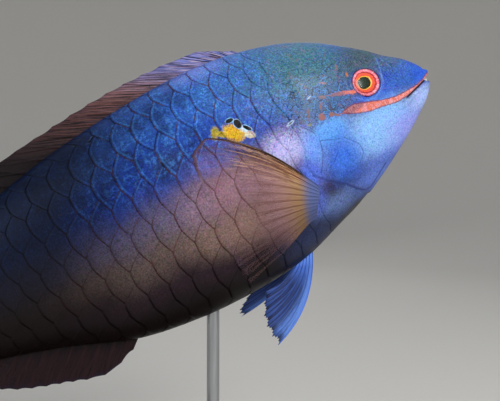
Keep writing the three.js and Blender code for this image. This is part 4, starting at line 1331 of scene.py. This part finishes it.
def ball_material(looks):
    """Rings of colour round the pupil, streaked outwards"""
    material, wires = new_material("eyeball")
    step = wires.step
    eye = wires.read("eye")
    ragged = wires.noise(eye, 0.9, 3, 0.6)
    spokes = wires.noise(wires.vector("NORMALIZE", wires.stretch(eye, 1, 1, 0)), 0.09, 3, 0.6)
    size = MM / looks.pupil
    away = wires.vector("LENGTH", wires.stretch(eye, 1, 1, 0)) * size + (ragged * 0.5 - 0.25)
    oval = wires.vector("LENGTH", wires.stretch(eye, 1, 1.1, 0)) * size + (ragged * 0.2 - 0.1)
    ball = Layers(wires, {}, looks.pupil_green)
    ball.over(step(oval, 0.5, 0.95), (0.002, 0.004, 0.002))
    ball.over(step(oval, 0.98, 1.03), looks.inner_ring)
    ball.over(step(oval, 1.06, 1.18), looks.iris)
    ball.over(step(away, 1.15, 1.35) * 0.5, wires.blend(spokes, colour("FF8A4C"), colour("D8302A")))
    ball.over(wires.near(away - 1.55, 0.03, 0.1), "A82838")
    ball.over(step(away, 1.6, 1.74), looks.outer_ring)
    ball.over(step(spokes, 0.45, 0.7) * step(away, 1.6, 1.85), "FFE4EC")
    ball.over(step(away, 1.9, 2.02) * 0.7, "D04468")
    ball.over(step(away, 2.04, 2.12), "181030")
    return finish(material, wires, 0.05, {"Base Color": ball.paint, "Roughness": 0.32, "Height": ragged})


def clear_material():
    """A thin clear skin: it only reflects, more at a slant"""
    material, wires = new_material("cornea")
    nodes = material.node_tree.nodes
    nodes.remove(nodes["Principled BSDF"])
    gloss = wires.add("BsdfGlossy", 0, {"Color": (1, 1, 1), "Roughness": 0.1})
    clear = wires.add("BsdfTransparent", 0, {})
    share = wires.add("Fresnel", 0, {"IOR": 1.38}) * 0.25
    mixed = wires.add("MixShader", 0, {0: share, 1: clear, 2: gloss})
    wires.feed(nodes["Material Output"].inputs["Surface"], mixed)
    return material


def beak_material():
    """Pale enamel with the seams of small fused teeth"""
    material, wires = new_material("beak_enamel")
    place = wires.read("tooth")
    teeth = wires.add("TexVoronoi", 0, {"Vector": place, "Scale": 1.6}, feature="DISTANCE_TO_EDGE")
    enamel = wires.blend(wires.noise(place, 0.5, 3), colour("F6F2E6"), colour("D8E2EC"))
    enamel = wires.blend(wires.step(teeth, 0.08, 0), enamel, colour("B8A88C"))
    return finish(material, wires, 0.1, {
        "Base Color": enamel, "Roughness": 0.22, "Height": teeth, "Coat Weight": 0.4})


def wood_material(looks):
    material, wires = new_material("stained_wood")
    inputs = {"Place": wires.object_place(), "Light": looks.wood, "Dark": looks.dark_wood}
    return finish(material, wires, 0.04, {
        **use_group(wires, "Wood grain", inputs), "Roughness": 0.3, "Coat Weight": 0.35, "Coat Roughness": 0.12})


def steel_material(looks):
    material, wires = new_material("brushed_steel")
    brushed = wires.noise(wires.stretch(wires.object_place(), 900, 900, 60), 1, 3)
    paint = wires.blend(brushed, looks.steel, colour("8E9094"))
    return finish(material, wires, 0.02, {
        "Base Color": paint, "Roughness": brushed * 0.2 + 0.2, "Metallic": 1, "Height": brushed})


def floor_material(looks):
    material, wires = new_material("pale_floor")
    grain = wires.noise(wires.stretch(wires.object_place(), 1000, 1000, 1000), 3, 3)
    return finish(material, wires, 0, {
        "Base Color": wires.blend(grain * 0.1, looks.floor, (1, 1, 1)), "Roughness": 0.85})


# Stage

FISH_MIDDLE = (0, 0, 0.1)
HEAD = (0.07, 0, 0.13)


def build_floor(looks):
    """A round floor that curves up into a backdrop all round"""
    flat, bend = 0.85, 0.55
    profile = [(0, 0), (0.2, 0), (0.5, 0), (flat, 0)]
    profile += [(flat + bend * math.sin(a), bend - bend * math.cos(a)) for a in np.linspace(0.1, math.pi / 2, 16)]
    points, faces = lathe(profile + [(flat + bend, 0.9), (flat + bend, 1.3)], 96)
    faces = [part[:, ::-1] for part in faces]
    floor = new_piece("floor", points - [0, 0, 0.0002], faces, floor_material(looks))


def point(thing, place, aim):
    """Put a lamp or the camera at a place, turned towards another"""
    thing.location = place
    thing.rotation_euler = (Vector(aim) - Vector(place)).to_track_quat("-Z", "Y").to_euler()


def soft_light(name, place, aim, size, power):
    light = bpy.data.lights.new(name, "AREA")
    light.size, light.energy = size, power
    lamp = add_object(name, light)
    lamp.visible_camera = False
    point(lamp, place, aim)


def build_camera(looks):
    aim = Vector(in_frame((looks.aim_back / MM, 0, -looks.aim_drop / MM)))
    away = Vector((math.sin(looks.azimuth), -math.cos(looks.azimuth), 0))
    camera = add_object("camera", bpy.data.cameras.new("camera"))
    camera.data.lens = looks.lens
    camera.data.sensor_width = 36
    camera.data.clip_start, camera.data.clip_end = 0.01, 10
    point(camera, aim + looks.distance * away, aim)
    bpy.context.scene.camera = camera


# Operators

class PARROTFISH_OT_stage(bpy.types.Operator):
    """Set up the camera, the pale floor and the soft lights"""

    bl_idname = "parrotfish.stage"
    bl_label = "Stage"

    def execute(self, context):
        looks = context.scene.parrotfish_stage
        build_camera(looks)
        build_floor(looks)
        soft_light("key", (0.24, -0.46, 0.42), HEAD, 0.28, looks.key)
        soft_light("fill", (-0.75, -0.6, 0.35), FISH_MIDDLE, 0.6, looks.fill)
        soft_light("top", (0, 0.1, 0.95), FISH_MIDDLE, 0.7, looks.fill)
        soft_light("back", (0.2, 0.8, 0.5), FISH_MIDDLE, 0.6, looks.fill / 2)
        world = context.scene.world or bpy.data.worlds.new("studio")
        context.scene.world = world
        world.use_nodes = True
        sky = world.node_tree.nodes["Background"]
        sky.inputs["Color"].default_value = (0.9, 0.93, 1, 1)
        sky.inputs["Strength"].default_value = 0.3
        context.scene.view_settings.view_transform = "Standard"
        return {"FINISHED"}


class PARROTFISH_OT_skin(bpy.types.Operator):
    """Build the skin of the head and body in one piece, in place of the solids of flesh"""

    bl_idname = "parrotfish.skin"
    bl_label = "Skin"

    def execute(self, context):
        build_skin(flesh_material("fish_skin", context.scene.parrotfish_skin, 0.22))
        return {"FINISHED"}


class PARROTFISH_OT_scales(bpy.types.Operator):
    """Lay the overlapping scales on both sides"""

    bl_idname = "parrotfish.scales"
    bl_label = "Scales"

    def execute(self, context):
        sizes = context.scene.parrotfish_scales
        material = flesh_material("scale_skin", context.scene.parrotfish_skin, 0.06)
        build_scales("scales_right", 1, sizes, material, 5)
        build_scales("scales_left", -1, sizes, material, 6)
        return {"FINISHED"}


class PARROTFISH_OT_eyes(bpy.types.Operator):
    """Build both eyes, each a ball under a clear cornea"""

    bl_idname = "parrotfish.eyes"
    bl_label = "Eyes"

    def execute(self, context):
        looks = context.scene.parrotfish_eyes
        ball, clear = ball_material(looks), clear_material()
        build_eye("eye_right", 1, looks, ball, clear)
        build_eye("eye_left", -1, looks, ball, clear)
        return {"FINISHED"}


class PARROTFISH_OT_beak(bpy.types.Operator):
    """Build the fused teeth of both jaws"""

    bl_idname = "parrotfish.beak"
    bl_label = "Beak"

    def execute(self, context):
        material = beak_material()
        build_beak("beak_upper", 1, 1.2, 4.2, material)
        build_beak("beak_lower", -1, 1.5, 5.0, material)
        return {"FINISHED"}


class PARROTFISH_OT_fins(bpy.types.Operator):
    """Build the seven fins with their rays"""

    bl_idname = "parrotfish.fins"
    bl_label = "Fins"

    def execute(self, context):
        fin_sheet("dorsal_sheet", dorsal_place, DORSAL_RAYS, fin_material("dorsal"), "dorsal_membrane",
                  "dorsal_fin", spines=DORSAL_SPINES)
        fin_sheet("anal_sheet", anal_place, ANAL_RAYS, fin_material("anal"), "anal_membrane", "anal_fin",
                  spines=ANAL_SPINES)
        fin_sheet("tail_sheet", tail_place, TAIL_RAYS, fin_material("tail"), "tail_membrane", "caudal_fin",
                  core=tail_core, ridge=0.6, start=-0.03, rows=110)
        side_material, belly_material = fin_material("side"), fin_material("pelvic")
        for word, side, fold in (("right", 1, 0), ("left", -1, 1)):
            fin_sheet("side_sheet_" + word, partial(side_place, side), SIDE_RAYS, side_material, "side_membrane",
                      "pectoral_fin_" + word, core=0.22, ridge=0.55, start=-0.05, rows=110, spines=1, lobe=1.6)
            fin_sheet("belly_sheet_" + word, partial(belly_place, side, fold), BELLY_RAYS, belly_material,
                      "pelvic_membrane", "pelvic_fin_" + word, ridge=0.6, rows=90, spines=1, lobe=0.8)
        return {"FINISHED"}


class PARROTFISH_OT_stand(bpy.types.Operator):
    """Build the board and the two rods"""

    bl_idname = "parrotfish.stand"
    bl_label = "Stand"

    def execute(self, context):
        looks = context.scene.parrotfish_stand
        build_board(looks, wood_material(looks))
        material = steel_material(looks)
        build_rod("stand_rod_front", FRONT_ROD_BACK, looks, material)
        build_rod("stand_rod_rear", REAR_ROD_BACK, looks, material)
        return {"FINISHED"}


OPERATORS = [PARROTFISH_OT_stage, PARROTFISH_OT_skin, PARROTFISH_OT_scales, PARROTFISH_OT_eyes,
             PARROTFISH_OT_beak, PARROTFISH_OT_fins, PARROTFISH_OT_stand]
SETTINGS = {"skin": SkinLooks, "scales": ScaleSizes, "eyes": EyeLooks, "stand": StandLooks, "stage": StageLooks}


class PARROTFISH_PT_build(bpy.types.Panel):
    """The steps that build the model, each with its settings"""

    bl_label = "Parrotfish"
    bl_space_type = "VIEW_3D"
    bl_region_type = "UI"
    bl_category = "Parrotfish"

    def draw(self, context):
        for operator in OPERATORS:
            word = operator.bl_idname.split(".")[1]
            box = self.layout.box()
            box.operator(operator.bl_idname)
            if word in SETTINGS:
                settings = getattr(context.scene, "parrotfish_" + word)
                for label in SETTINGS[word].__annotations__:
                    box.prop(settings, label)


def register():
    for kind in [*SETTINGS.values(), *OPERATORS, PARROTFISH_PT_build]:
        bpy.utils.register_class(kind)
    for word, kind in SETTINGS.items():
        setattr(bpy.types.Scene, "parrotfish_" + word, PointerProperty(type=kind))


def unregister():
    for word in SETTINGS:
        delattr(bpy.types.Scene, "parrotfish_" + word)
    for kind in [PARROTFISH_PT_build, *reversed(OPERATORS), *reversed(SETTINGS.values())]:
        bpy.utils.unregister_class(kind)


def main():
    register()
    for operator in OPERATORS:
        group, word = operator.bl_idname.split(".")
        getattr(getattr(bpy.ops, group), word)()


if __name__ == "__main__":
    main()
